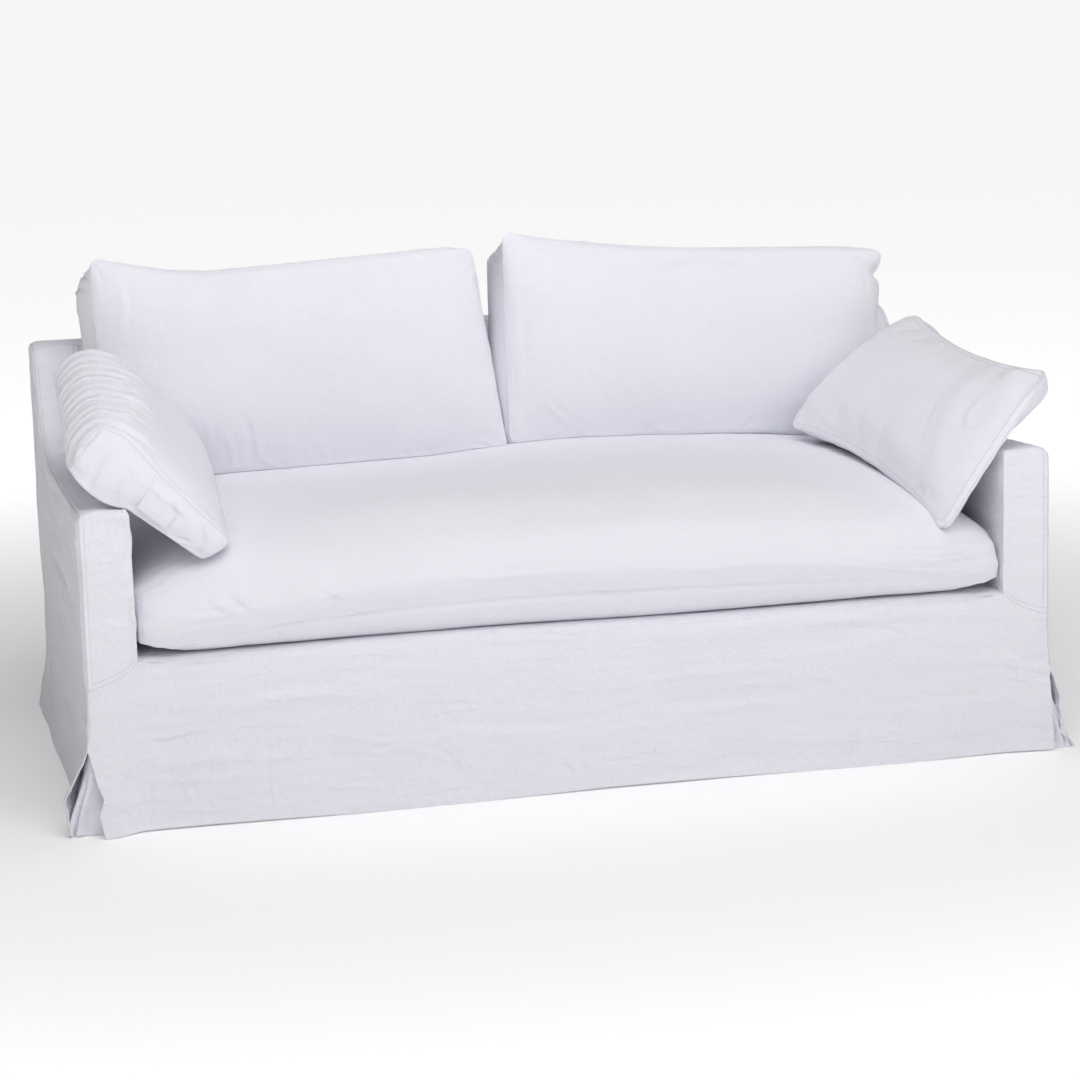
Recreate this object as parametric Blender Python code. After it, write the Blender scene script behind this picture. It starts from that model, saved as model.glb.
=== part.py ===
"""Slipcover for a two-seater sofa.

A fitted body cover with a floor-length skirt open at the four corners, one
bench seat cushion, two back cushions and two arm pillows.  Metres, +Z up, the
front towards -Y, the origin on the floor under the middle of the cover.
"""
import math

import bmesh
import bpy

COLLECTION = "sofa_slipcover"

WHITE = (0.83, 0.84, 0.86)
CLOTH = 0.0025          # thickness of the cover's cloth
GAP = 0.0003            # clearance between neighbouring pieces

BODY_HALF = 0.960       # outside of each arm from the middle
ARM_IN = 0.863          # inside of each arm from the middle
FRONT = -0.500          # front of the arms and the skirt
BACK = 0.500            # outside of the back
DECK = 0.333            # top of the cloth under the seat cushion
VENT_TOP = 0.168        # where the skirt's corners open
HEM_LIFT = 0.0030       # mean height of the hem over the floor
HEM_WAVE = 0.0030       # unevenness of the hem
SIDE_FLARE = 0.026      # how far the skirt swings out at the sides
FRONT_FLARE = 0.006     # the same at the front
REAR_FLARE = 0.026      # the same at the back
FLARE_FROM = 0.260      # height the skirt starts to swing out from

# The arm's top edge from the front to the top of the back.
ARM_PROFILE = (
    # y, z
    (-0.500, 0.617),
    (-0.400, 0.613),
    (-0.280, 0.606),
    (-0.140, 0.598),
    (0.000, 0.592),
    (0.130, 0.591),
    (0.220, 0.598),
    (0.290, 0.614),
    (0.340, 0.640),
    (0.373, 0.678),
    (0.393, 0.725),
    (0.409, 0.775),
    (0.424, 0.801),
    (0.442, 0.812),
)

# The inside of the back, from the deck up to the cover's top strip.
BACK_PROFILE = (
    # y, z
    (0.3600, 0.3360),
    (0.3700, 0.4400),
    (0.3790, 0.5500),
    (0.3860, 0.6350),
    (0.3930, 0.7250),
    (0.4090, 0.7750),
    (0.4240, 0.8010),
    (0.4420, 0.8120),
)

# The strip along the top of the back.
TOP_PROFILE = (
    # y, z
    (0.442, 0.812),
    (0.468, 0.818),
    (0.500, 0.820),
)

# Height of the seam between an arm's front and the skirt's front.
ARM_SEAM = (
    # distance from the middle, z
    (0.863, 0.3280),
    (0.880, 0.3120),
    (0.905, 0.2980),
    (0.932, 0.2870),
    (0.960, 0.2790),
)

ARM_FULL = ARM_PROFILE + TOP_PROFILE[1:]
BACK_FULL = BACK_PROFILE + TOP_PROFILE[1:]
SEAM_X = tuple(x for x, z in ARM_SEAM)
MIDDLE_X = (0.0, 0.145, 0.290, 0.435, 0.580, 0.720, ARM_IN - 3.0 * GAP)
SKIRT_Z = (0.0, 0.045, 0.105, VENT_TOP, 0.235)
UPPER = (0.36, 0.71, 1.0)
SIDE_FRONT = FRONT + CLOTH + GAP
SIDE_BACK = BACK - CLOTH - GAP

# Waves of the common drift every panel follows, so seams stay closed.
DRIFT = (
    # amplitude, x turns, y turns, z turns, phase; one row for each wave
    (0.0030, 0.7, 0.5, 0.6, 0.4),
    (0.0016, 1.2, -0.9, 0.9, 2.1),
)


def follow(table, at):
    """Straight-line reading of a two-column table."""
    if at <= table[0][0]:
        return table[0][1]
    for (a, low), (b, high) in zip(table, table[1:]):
        if at <= b:
            return low + (high - low) * (at - a) / (b - a)
    return table[-1][1]


def ease(low, high, at):
    """Smooth step from 0 at low to 1 at high."""
    t = min(1.0, max(0.0, (at - low) / (high - low)))
    return t * t * (3.0 - 2.0 * t)


def swing(z):
    """Share of the skirt's outward swing at a height."""
    return max(0.0, (FLARE_FROM - z) / FLARE_FROM) ** 1.6


def wave(x, y, z, shift):
    """Sum of the drift waves at a place."""
    total = 0.0
    for size, across, along, up, phase in DRIFT:
        turns = across * x + along * y + up * z
        total += size * math.sin(2.0 * math.pi * turns + phase + shift)
    return total


def drift(x, y, z):
    """Move a place with the cover's common unevenness and skirt swing."""
    side = ease(0.80, 0.95, abs(x)) * math.copysign(1.0, x)
    front = ease(-0.40, -0.49, y)
    rear = ease(0.40, 0.49, y)
    out = swing(z)
    pull = ease(0.55, 0.95, x) * ease(0.10, 0.45, y) * ease(0.725, 0.82, z)
    dx = SIDE_FLARE * out * side + 0.8 * wave(x, y, z, 0.0) - 0.014 * pull
    dy = REAR_FLARE * out * rear - FRONT_FLARE * out * front
    dy += 0.8 * wave(x, y, z, 1.7)
    hold = ease(0.0, 0.12, z)
    dz = 0.6 * hold * wave(x, y, z, 3.1) - 0.006 * pull
    return x + dx, y + dy, z + dz


def hem(along):
    """Height of the hem, uneven along the skirt."""
    return HEM_LIFT + HEM_WAVE * math.sin(7.3 * along + 0.6)


def skirt_height(level, along, top):
    """A skirt station's height: the hem at the bottom, level above it."""
    if level <= 0.0:
        return hem(along)
    return min(level, top)


def raised(top, share):
    """Height of an upper station, between the skirt and a panel's top."""
    return SKIRT_Z[-1] + (top - SKIRT_Z[-1]) * share


def material(name, colour, roughness):
    """Plain fabric material for one node."""
    made = bpy.data.materials.new(name)
    made.use_nodes = True
    shader = made.node_tree.nodes["Principled BSDF"]
    shader.inputs["Base Color"].default_value = (*colour, 1.0)
    shader.inputs["Roughness"].default_value = roughness
    shader.inputs["Metallic"].default_value = 0.0
    return made


def finish(name, bm, collection, colour):
    """Close a mesh, face it outwards and put it in the collection."""
    bmesh.ops.recalc_face_normals(bm, faces=bm.faces)
    if bm.calc_volume(signed=True) < 0.0:
        bmesh.ops.reverse_faces(bm, faces=bm.faces)
    bmesh.ops.triangulate(bm, faces=bm.faces)
    mesh = bpy.data.meshes.new(name)
    bm.to_mesh(mesh)
    bm.free()
    node = bpy.data.objects.new(name, mesh)
    node.data.materials.append(material(name, colour, 0.9))
    collection.objects.link(node)
    return node


def lattice(columns, rows, rings):
    """A grid raised into a closed box whose walls are cut into rings.

    Returns the mesh and every vertex's column, row and ring number."""
    bm = bmesh.new()
    bmesh.ops.create_grid(bm, x_segments=columns - 1, y_segments=rows - 1,
                          size=1.0)
    extruded = bmesh.ops.extrude_face_region(bm, geom=bm.faces[:])["geom"]
    for part in extruded:
        if isinstance(part, bmesh.types.BMVert):
            part.co.z = rings - 1.0
    walls = [edge for edge in bm.edges
             if abs(edge.verts[0].co.z - edge.verts[1].co.z) > 0.5]
    if rings > 2:
        bmesh.ops.subdivide_edges(bm, edges=walls, cuts=rings - 2,
                                  use_grid_fill=True)
    places = {}
    for vert in bm.verts:
        column = round((vert.co.x + 1.0) / 2.0 * (columns - 1))
        row = round((vert.co.y + 1.0) / 2.0 * (rows - 1))
        places[vert] = (column, row, round(vert.co.z))
    return bm, places


def sheet(name, collection, us, vs, place, colour):
    """A sheet of cloth: place(u, v, depth) gives the worn shape, with depth
    running from 0 on the outside to the cloth's thickness inside."""
    bm, places = lattice(len(us), len(vs), 2)
    for vert, (column, row, inner) in places.items():
        x, y, z = place(us[column], vs[row], CLOTH * inner)
        vert.co = drift(x, y, z)
    return finish(name, bm, collection, colour)


def mirrored(values):
    """Stations on both sides of the middle."""
    return tuple(-v for v in reversed(values) if v > 0.0) + tuple(values)


def arm_seam(x):
    """Height of the seam under an arm's front."""
    return follow(ARM_SEAM, abs(x))


def skirt_front(collection):
    """The skirt's front, up to the deck and under the arms' fronts."""
    def place(x, level, depth):
        if abs(x) < ARM_IN:
            top = DECK - CLOTH - GAP
        else:
            top = arm_seam(x) - GAP
        if level >= 1.0:
            z = top
        else:
            z = skirt_height(level, x, top)
        free = ease(VENT_TOP, 0.0, level) * ease(0.84, 0.96, abs(x))
        curl = (0.034 if x < 0.0 else 0.010) * free
        x -= math.copysign(0.024 * free, x)
        ripple = 0.0040 * math.sin(5.2 * x + 0.7) * ease(0.30, 0.05, z)
        ripple *= 1.0 - ease(0.70, 0.86, abs(x))
        return x, FRONT + ripple - curl + depth, z
    xs = mirrored(MIDDLE_X + SEAM_X)
    return sheet("skirt_front", collection, xs, SKIRT_Z + (1.0,), place, WHITE)


def arm_front(collection, side, name):
    """An arm's front panel, from the slanted seam to the arm's top."""
    top = ARM_PROFILE[0][1] - CLOTH - GAP

    def place(x, level, depth):
        z = max(arm_seam(x) + GAP, raised(top, level))
        return side * x, FRONT + depth, z
    return sheet(name, collection, SEAM_X, (0.0,) + UPPER, place, WHITE)


def profile_normal(table, index):
    """Unit normal of a profile at one of its rows, out of the cover."""
    before = table[max(index - 1, 0)]
    after = table[min(index + 1, len(table) - 1)]
    run = after[0] - before[0]
    rise = after[1] - before[1]
    length = math.hypot(run, rise)
    return -rise / length, run / length


def along_profile(table, index, depth):
    """Place on a profile's row, sunk by a depth under the surface."""
    back, up = profile_normal(table, index)
    y, z = table[index]
    return y - depth * back, z - depth * up


def arm_top(collection, side, name):
    """The strip over an arm, rising to the top of the back."""
    def place(x, row, depth):
        y, z = along_profile(ARM_FULL, row, depth)
        if row == len(ARM_PROFILE) - 1:
            y -= GAP
        return side * x, y, z
    return sheet(name, collection, SEAM_X, tuple(range(len(ARM_PROFILE))),
                 place, WHITE)


def side_panel(collection, side, name):
    """An arm's outside, from the top strip down to the hem."""
    def place(row, level, depth):
        y = min(max(ARM_FULL[row][0], SIDE_FRONT), SIDE_BACK)
        top_y, top_z = along_profile(ARM_FULL, row, CLOTH + 1.4 * GAP)
        top_y = min(max(top_y, SIDE_FRONT), SIDE_BACK)
        if level > SKIRT_Z[-1]:
            y += (top_y - y) * level
            return side * (BODY_HALF - depth), y, raised(top_z, level)
        z = skirt_height(level, y + 2.0, top_z)
        free = ease(VENT_TOP, 0.07, level)
        flap = 0.016 * free * ease(-0.36, -0.49, y)
        ripple = 0.004 * math.sin(9.0 * y + 0.5) * ease(0.25, 0.05, z)
        ripple *= 1.0 - ease(0.28, 0.40, abs(y))
        return side * (BODY_HALF - depth + flap + ripple), y, z
    return sheet(name, collection, tuple(range(len(ARM_FULL))),
                 SKIRT_Z + UPPER, place, WHITE)


def arm_inside(collection, side, name):
    """An arm's inside, from the deck to the top strip and the back."""
    rows = ARM_PROFILE[:11]

    def place(index, level, depth):
        top_y, top_z = along_profile(ARM_FULL, index, CLOTH + GAP)
        share = (rows[index][0] - FRONT) / (rows[-1][0] - FRONT)
        top_y = max(top_y, SIDE_FRONT)
        low_y = SIDE_FRONT + (0.3625 - SIDE_FRONT) * share
        y = low_y + (top_y - low_y) * level
        z = max(DECK - CLOTH, raised(top_z, level))
        return side * (ARM_IN + depth), y, z
    return sheet(name, collection, tuple(range(len(rows))), (0.0,) + UPPER,
                 place, WHITE)


def back_inside(collection):
    """The inside of the back, between the arms."""
    def place(x, row, depth):
        y, z = along_profile(BACK_FULL, row, depth)
        if row == len(BACK_PROFILE) - 1:
            y -= GAP
        return x, y, z
    return sheet("back_inside", collection, mirrored(MIDDLE_X),
                 tuple(range(len(BACK_PROFILE))), place, WHITE)


def back_top(collection):
    """The strip along the top of the back."""
    def place(x, row, depth):
        y, z = along_profile(ARM_FULL, row, depth)
        return x, y, z
    first = len(ARM_PROFILE) - 1
    return sheet("back_top", collection, mirrored(MIDDLE_X[:-1] + SEAM_X),
                 (first, first + 1, first + 2), place, WHITE)


def back_outside(collection):
    """The outside of the back, from the top strip to the hem."""
    def place(x, level, depth):
        top = TOP_PROFILE[-1][1] - CLOTH - 1.6 * GAP
        if level > SKIRT_Z[-1]:
            z = raised(top, level)
        else:
            z = skirt_height(level, x + 4.0, top)
        lean = 0.020 * ease(VENT_TOP, 0.0, level) * ease(0.80, 0.96, abs(x))
        x -= math.copysign(lean, x)
        ripple = 0.0040 * math.sin(6.1 * x + 1.9) * ease(0.30, 0.05, z)
        ripple *= 1.0 - ease(0.70, 0.86, abs(x))
        return x, BACK + ripple - depth, z
    return sheet("back_outside", collection, mirrored(MIDDLE_X[:-1] + SEAM_X),
                 SKIRT_Z + UPPER, place, WHITE)


def seat_deck(collection):
    """The cloth under the seat cushion."""
    def place(x, y, depth):
        return x, y, DECK - depth
    ys = (FRONT, -0.40, -0.25, -0.10, 0.05, 0.20, 0.366)
    return sheet("seat_deck", collection, mirrored(MIDDLE_X), ys, place, WHITE)


# The folded cloth behind an open corner of the skirt, in plan.
VENT_PATH = (
    # closed x, closed y, open x, open y; distances from the middle
    (0.8900, 0.4967, 0.8900, 0.4967),
    (0.9200, 0.4965, 0.9200, 0.4962),
    (0.9380, 0.4950, 0.9440, 0.4950),
    (0.9480, 0.4925, 0.9570, 0.5080),
    (0.9535, 0.4870, 0.9540, 0.4910),
    (0.9550, 0.4780, 0.9700, 0.4990),
    (0.9560, 0.4650, 0.9580, 0.4760),
    (0.9567, 0.4500, 0.9600, 0.4560),
    (0.9567, 0.4200, 0.9567, 0.4200),
)
VENT_Z = (0.0, 0.045, 0.105, VENT_TOP, 0.195)


def vent(collection, side, end, name):
    """The pleat behind one open corner; end is -1 in front, 1 behind."""
    reach = 1.0 if end < 0 else 0.0

    def place(row, level, depth):
        shut_x, shut_y, open_x, open_y = VENT_PATH[row]
        share = reach * ease(0.150, 0.0, level)
        x = shut_x + (open_x - shut_x) * share
        y = shut_y + (open_y - shut_y) * share
        before = VENT_PATH[max(row - 1, 0)]
        after = VENT_PATH[min(row + 1, len(VENT_PATH) - 1)]
        run = after[0] - before[0]
        rise = after[1] - before[1]
        length = math.hypot(run, rise)
        x += depth * rise / length
        y -= depth * run / length
        z = hem(8.0 * side + 3.0 * row) if level <= 0.0 else level
        return side * x, end * y, z
    return sheet(name, collection, tuple(range(len(VENT_PATH))), VENT_Z,
                 place, WHITE)


def cushion(name, collection, us, vs, rings, shape):
    """A filled cushion: shape(u, v, ring) with u and v from -1 to 1."""
    bm, places = lattice(len(us), len(vs), rings)
    for vert, (column, row, ring) in places.items():
        x, y, z = shape(us[column], vs[row], ring)
        vert.co = drift(x, y, z)
    return finish(name, bm, collection, WHITE)


SEAT_HALF = 0.8602
SEAT_FRONT = -0.516
SEAT_BACK = 0.350
SEAT_REST = 0.3342
SEAT_U = (-1.0, -0.97, -0.90, -0.76, -0.52, -0.26, 0.0,
          0.26, 0.52, 0.76, 0.90, 0.97, 1.0)
SEAT_V = (-1.0, -0.95, -0.82, -0.52, -0.10, 0.30, 0.68, 0.92, 1.0)


def seat_upper(x, y):
    """Height of the seat cushion's upper seam, drooping at both ends."""
    droop = 0.052 * (abs(x) / 0.86) ** 2.2 + 0.010 * ease(0.2, 0.7, x)
    return 0.500 - droop * (0.5 + 0.5 * ease(0.1, -0.4, y))


def seat_lower(x):
    """Height of the seat cushion's lower seam."""
    return 0.412 - 0.046 * (x / 0.82) ** 2


def seat_cushion(collection):
    """The bench seat cushion, crowned on top and curling up in front."""
    middle = (SEAT_FRONT + SEAT_BACK) / 2.0
    half = (SEAT_BACK - SEAT_FRONT) / 2.0

    def shape(u, v, ring):
        x = SEAT_HALF * u * (1.0 - 0.012 * abs(v) ** 14)
        y = middle + half * v * (1.0 - 0.035 * abs(u) ** 18)
        if ring == 1:
            x += 0.0020 * u * (abs(u) == 1.0)
            y += 0.0120 * v * (v == -1.0)
            return x, y, 0.46 * seat_upper(x, y) + 0.54 * seat_lower(x)
        if ring == 2:
            fall = abs(v) ** 3 if v < 0.0 else v ** 7
            crown = (1.0 - fall) * (1.0 - abs(u) ** 13)
            return x, y, seat_upper(x, y) + 0.086 * crown
        rise = max(0.0, max(abs(u), abs(v)) - 0.85) / 0.15
        z = SEAT_REST + (seat_lower(x) - SEAT_REST) * rise ** 3.2
        return x, y + 0.006 * (v == -1.0), z
    return cushion("seat_cushion", collection, SEAT_U, SEAT_V, 3, shape)


# Front corners of the back cushions, their sag and their side bulge.
BACK_LEFT = {
    "top_left": (-0.842, 0.2572, 1.0113),
    "top_right": (-0.044, 0.2572, 0.9853),
    "low_left": (-0.842, 0.1752, 0.5863),
    "low_right": (-0.006, 0.1752, 0.5963),
    "sag": 0.028,
    "sag_at": -0.25,
    "sag_reach": 0.75,
    "bulge_left": 0.026,
    "bulge_right": 0.004,
}
BACK_RIGHT = {
    "top_left": (0.026, 0.2555, 1.0231),
    "top_right": (0.853, 0.2555, 0.9511),
    "low_left": (0.010, 0.1735, 0.5981),
    "low_right": (0.846, 0.1735, 0.5841),
    "sag": 0.014,
    "sag_at": 0.10,
    "sag_reach": 0.75,
    "bulge_left": 0.014,
    "bulge_right": 0.035,
}
BACK_THICK = 0.165
BACK_TILT = math.radians(12.0)
BACK_U = (-1.0, -0.93, -0.78, -0.5, -0.17, 0.17, 0.5, 0.78, 0.93, 1.0)
BACK_V = (-1.0, -0.9, -0.6, -0.2, 0.2, 0.6, 0.9, 1.0)


def between(low, high, share):
    """Place between two others."""
    return tuple(a + (b - a) * share for a, b in zip(low, high))


def back_cushion(collection, form, name):
    """A back cushion leaning on the cover's back."""
    def shape(u, v, ring):
        low = between(form["low_left"], form["low_right"], (u + 1.0) / 2.0)
        top = between(form["top_left"], form["top_right"], (u + 1.0) / 2.0)
        x, y, z = between(low, top, (v + 1.0) / 2.0)
        upper = ease(-0.6, 0.7, v)
        spread = (u - form["sag_at"]) / form["sag_reach"]
        z -= form["sag"] * ease(0.3, 1.0, v) * max(0.0, 1.0 - spread ** 2)
        edge = abs(u * v) ** 10
        x -= 0.008 * u * edge
        z -= 0.005 * v * edge
        sunk = (0.0, 0.33, 0.67, 1.0)[ring]
        crown = (1.0 - abs(u) ** 2.6) * (1.0 - abs(v) ** 2.6)
        lift = 0.050 * crown if ring == 3 else 0.0
        if ring == 0:
            lift = -0.022 * crown
        if ring in (1, 2):
            side = "bulge_left" if u < 0.0 else "bulge_right"
            x += u * form[side] * upper * (abs(u) == 1.0)
            z += v * 0.010 * (abs(v) == 1.0)
        deep = BACK_THICK * (1.0 - sunk) - lift
        y += deep * math.cos(BACK_TILT)
        z -= deep * math.sin(BACK_TILT)
        return x, y, z
    return cushion(name, collection, BACK_U, BACK_V, 4, shape)


# Corners of the arm pillows: the face, then the underside.
PILLOW_RIGHT = {
    "near_low": ((0.752, -0.505, 0.471), (0.805, -0.460, 0.4632)),
    "near_high": ((0.957, -0.490, 0.769), (0.974, -0.455, 0.696)),
    "far_low": ((0.622, 0.085, 0.600), (0.700, 0.105, 0.5652)),
    "far_high": ((0.893, 0.090, 0.830), (0.955, 0.110, 0.761)),
    "crown": 0.050,
    "under": 0.010,
    "bulge": 0.006,
    "draw_low": 0.026,
    "draw_high": 0.032,
    "push_far": 0.030,
}
PILLOW_LEFT = {
    "near_low": ((-0.670, -0.470, 0.543), (-0.722, -0.470, 0.5075)),
    "near_high": ((-0.917, -0.480, 0.760), (-0.962, -0.480, 0.6930)),
    "far_low": ((-0.655, 0.080, 0.624), (-0.700, 0.100, 0.5985)),
    "far_high": ((-0.880, 0.090, 0.846), (-0.945, 0.110, 0.772)),
    "crown": 0.040,
    "under": 0.004,
    "bulge": 0.008,
    "draw_low": -0.003,
    "draw_high": 0.006,
    "push_far": 0.034,
}
PILLOW_U = (-1.0, -0.9, -0.62, -0.2, 0.2, 0.62, 0.9, 1.0)
PILLOW_V = (-1.0, -0.86, -0.5, -0.15, 0.2, 0.55, 0.86, 1.0)
PILLOW_BEND = 0.2
ARM_ROOM = 0.0004


def pillow_place(form, u, v, ring):
    """Place on a pillow before it bends over the arm."""
    ends = []
    for layer in (1, 0):
        low = between(form["near_low"][layer], form["far_low"][layer],
                      (u + 1.0) / 2.0)
        high = between(form["near_high"][layer], form["far_high"][layer],
                       (u + 1.0) / 2.0)
        ends.append(between(low, high, (v + 1.0) / 2.0))
    x, y, z = between(ends[0], ends[1], ring / 3.0)
    out = math.copysign(1.0, x)
    bow = 1.0 - u * u
    draw = form["draw_low"] * max(0.0, -v) - form["draw_high"] * max(0.0, v)
    push = form["push_far"] * max(0.0, u) ** 3 * (1.0 - v * v)
    crown = (1.0 - abs(u) ** 2.4) * (1.0 - abs(v) ** 2.4)
    lift = 0.0
    if ring == 3:
        lift = form["crown"] * crown
    if ring == 0:
        lift = -form["under"] * crown
    x += out * 0.7 * (draw * bow - lift)
    z += 0.7 * (draw * bow + lift) + 0.5 * push
    y += push
    if ring in (1, 2):
        y += u * form["bulge"] * (abs(u) == 1.0)
        z += v * form["bulge"] * (v == 1.0)
        x += out * v * form["bulge"] * (abs(v) == 1.0)
    return x, y, z


def pillow_shape(form, u, v, ring):
    """Place on a pillow, its underside bent over the arm's inner edge."""
    x, y, z = pillow_place(form, u, v, ring)
    low = pillow_place(form, u, -1.0, 0)
    high = pillow_place(form, u, 1.0, 0)
    bend = pillow_place(form, u, PILLOW_BEND, 0)
    edge = math.copysign(ARM_IN - 0.5 * ARM_ROOM, x)
    reach = (edge - low[0]) / (high[0] - low[0])
    level = low[2] + (high[2] - low[2]) * reach
    level = max(level, follow(ARM_FULL, bend[1]) + ARM_ROOM)
    if v < PILLOW_BEND:
        share = (v + 1.0) / (PILLOW_BEND + 1.0)
    else:
        share = (1.0 - v) / (1.0 - PILLOW_BEND)
    share *= 1.0 - ring / 3.0
    return x + share * (edge - bend[0]), y, z + share * (level - bend[2])


def arm_pillow(collection, form, name):
    """An arm pillow lying over an arm, its lower edge on the seat."""
    def shape(u, v, ring):
        return pillow_shape(form, u, v, ring)
    return cushion(name, collection, PILLOW_U, PILLOW_V, 4, shape)


def pillow_placket(collection):
    """The flap over the zip on the left arm pillow's front edge."""
    def place(v, ring, depth):
        row = 2 if v <= PILLOW_V[3] else 3
        share = (v - PILLOW_V[row]) / (PILLOW_V[row + 1] - PILLOW_V[row])
        lower = int(ring)
        corners = []
        for layer in (lower, min(lower + 1, 3)):
            near = pillow_shape(PILLOW_LEFT, -1.0, PILLOW_V[row], layer)
            far = pillow_shape(PILLOW_LEFT, -1.0, PILLOW_V[row + 1], layer)
            corners.append(between(near, far, share))
        x, y, z = between(corners[0], corners[1], ring - lower)
        return x, y - 0.0006 - CLOTH + depth, z
    return sheet("pillow_placket", collection, (-0.40, -0.15, 0.04),
                 (0.45, 1.0, 1.9), place, WHITE)


def main():
    for old in list(bpy.data.objects):
        bpy.data.objects.remove(old, do_unlink=True)
    collection = bpy.data.collections.new(COLLECTION)
    bpy.context.scene.collection.children.link(collection)
    skirt_front(collection)
    for side, hand in ((-1, "left"), (1, "right")):
        arm_front(collection, side, "arm_front_" + hand)
        arm_top(collection, side, "arm_top_" + hand)
        side_panel(collection, side, "side_" + hand)
        arm_inside(collection, side, "arm_inside_" + hand)
    back_inside(collection)
    back_top(collection)
    back_outside(collection)
    seat_deck(collection)
    for side, hand in ((-1, "left"), (1, "right")):
        vent(collection, side, -1, "vent_front_" + hand)
        vent(collection, side, 1, "vent_rear_" + hand)
    seat_cushion(collection)
    back_cushion(collection, BACK_LEFT, "back_cushion_left")
    back_cushion(collection, BACK_RIGHT, "back_cushion_right")
    arm_pillow(collection, PILLOW_LEFT, "arm_pillow_left")
    arm_pillow(collection, PILLOW_RIGHT, "arm_pillow_right")
    pillow_placket(collection)


main()
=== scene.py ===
"""Looks of the sofa slipcover: cover panels, cushions, linen, studio and camera.

Metres, +Z up, the front towards -Y.  Every panel and cushion stands where its
plain solid stands in the frame, with its seams, folds and cloth added.
"""
import math

import bpy
import numpy as np
from mathutils import Matrix, Vector
from mathutils.bvhtree import BVHTree


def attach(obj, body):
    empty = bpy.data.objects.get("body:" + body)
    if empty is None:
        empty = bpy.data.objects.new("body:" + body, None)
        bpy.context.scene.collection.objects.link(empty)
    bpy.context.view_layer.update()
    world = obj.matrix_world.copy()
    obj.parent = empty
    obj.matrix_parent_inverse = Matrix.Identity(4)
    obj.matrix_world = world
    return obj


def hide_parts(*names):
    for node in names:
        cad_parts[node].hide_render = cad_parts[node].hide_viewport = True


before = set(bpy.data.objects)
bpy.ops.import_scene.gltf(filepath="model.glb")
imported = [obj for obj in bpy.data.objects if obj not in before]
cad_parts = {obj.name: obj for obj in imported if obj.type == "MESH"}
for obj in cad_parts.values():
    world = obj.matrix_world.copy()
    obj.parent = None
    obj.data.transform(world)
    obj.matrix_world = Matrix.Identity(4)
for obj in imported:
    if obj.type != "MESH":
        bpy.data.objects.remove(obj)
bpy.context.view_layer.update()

# ---------------------------------------------------------------- sizes

CLOTH = 0.0025          # thickness of the cover's cloth
BODY_HALF = 0.960       # outside of each arm from the middle
ARM_IN = 0.863          # inside of each arm from the middle
FRONT = -0.500          # front of the arms and the skirt
BACK = 0.500            # outside of the back
DECK = 0.333            # top of the cloth under the seat cushion
VENT_TOP = 0.168        # where the skirt's corners open
HEM_LIFT = 0.0022       # mean height of the hem over the floor
HEM_WAVE = 0.0020       # unevenness of the hem
SIDE_FLARE = 0.026      # how far the skirt swings out at the sides
FRONT_FLARE = 0.006     # the same at the front
REAR_FLARE = 0.026      # the same at the back
FLARE_FROM = 0.260      # height the skirt starts to swing out from
PULL = (0.014, 0.006)   # how far the back's right top corner is pulled in and down
LOOSE = 0.017           # how far the left side hangs out towards the back
SKIRT_SWAY = 0.004      # how far the skirt waves in and out along its hem
FELL = 0.011            # width of the felled strip along a seam
FELL_HEIGHT = 0.0015    # how far the strip stands proud
ROW_DEPTH = 0.0005      # how deep a row of stitches sinks in
HEM_WIDTH = 0.022       # width of the turned hem
HEM_HEIGHT = 0.0007     # how far the hem stands proud
FREE_FROM = 0.016       # distance from a seam at which the cloth folds freely
MILLIMETRE = 0.001      # unit of the tables of creases

# The arm's top edge from the front to the top of the back.
ARM_PROFILE = (
    # y, z
    (-0.500, 0.617),
    (-0.400, 0.613),
    (-0.280, 0.606),
    (-0.140, 0.598),
    (0.000, 0.592),
    (0.130, 0.591),
    (0.220, 0.598),
    (0.290, 0.614),
    (0.340, 0.640),
    (0.373, 0.678),
    (0.393, 0.725),
    (0.409, 0.775),
    (0.424, 0.801),
    (0.442, 0.812),
)

# The inside of the back, from the deck up to the cover's top strip.
BACK_PROFILE = (
    # y, z
    (0.3600, 0.3330),
    (0.3700, 0.4400),
    (0.3790, 0.5500),
    (0.3860, 0.6350),
    (0.3930, 0.7250),
    (0.4090, 0.7750),
    (0.4240, 0.8010),
    (0.4420, 0.8120),
)

# The strip along the top of the back.
TOP_PROFILE = (
    # y, z
    (0.442, 0.812),
    (0.468, 0.818),
    (0.500, 0.820),
)

# Height of the skirt's upper seam: the deck, then under the arm's front.
SKIRT_SEAM = (
    # distance from the middle, z
    (0.840, 0.3330),
    (0.863, 0.3280),
    (0.880, 0.3120),
    (0.905, 0.2980),
    (0.932, 0.2870),
    (0.960, 0.2790),
)

# Waves of the common drift every panel and cushion follows.
DRIFT = (
    # amplitude, x turns, y turns, z turns, phase; one row for each wave
    (0.0030, 0.7, 0.5, 0.6, 0.4),
    (0.0016, 1.2, -0.9, 0.9, 2.1),
)

ARM_FULL = ARM_PROFILE + TOP_PROFILE[1:]
SIDES = ((-1, "left"), (1, "right"))

# ---------------------------------------------------------------- maths


def ease(low, high, at):
    """Smooth step from 0 at low to 1 at high."""
    t = np.clip((at - low) / (high - low), 0.0, 1.0)
    return t * t * (3.0 - 2.0 * t)


def read(table, at):
    """Straight-line reading of a two-column table."""
    places, values = zip(*table)
    return np.interp(at, places, values)


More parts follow.
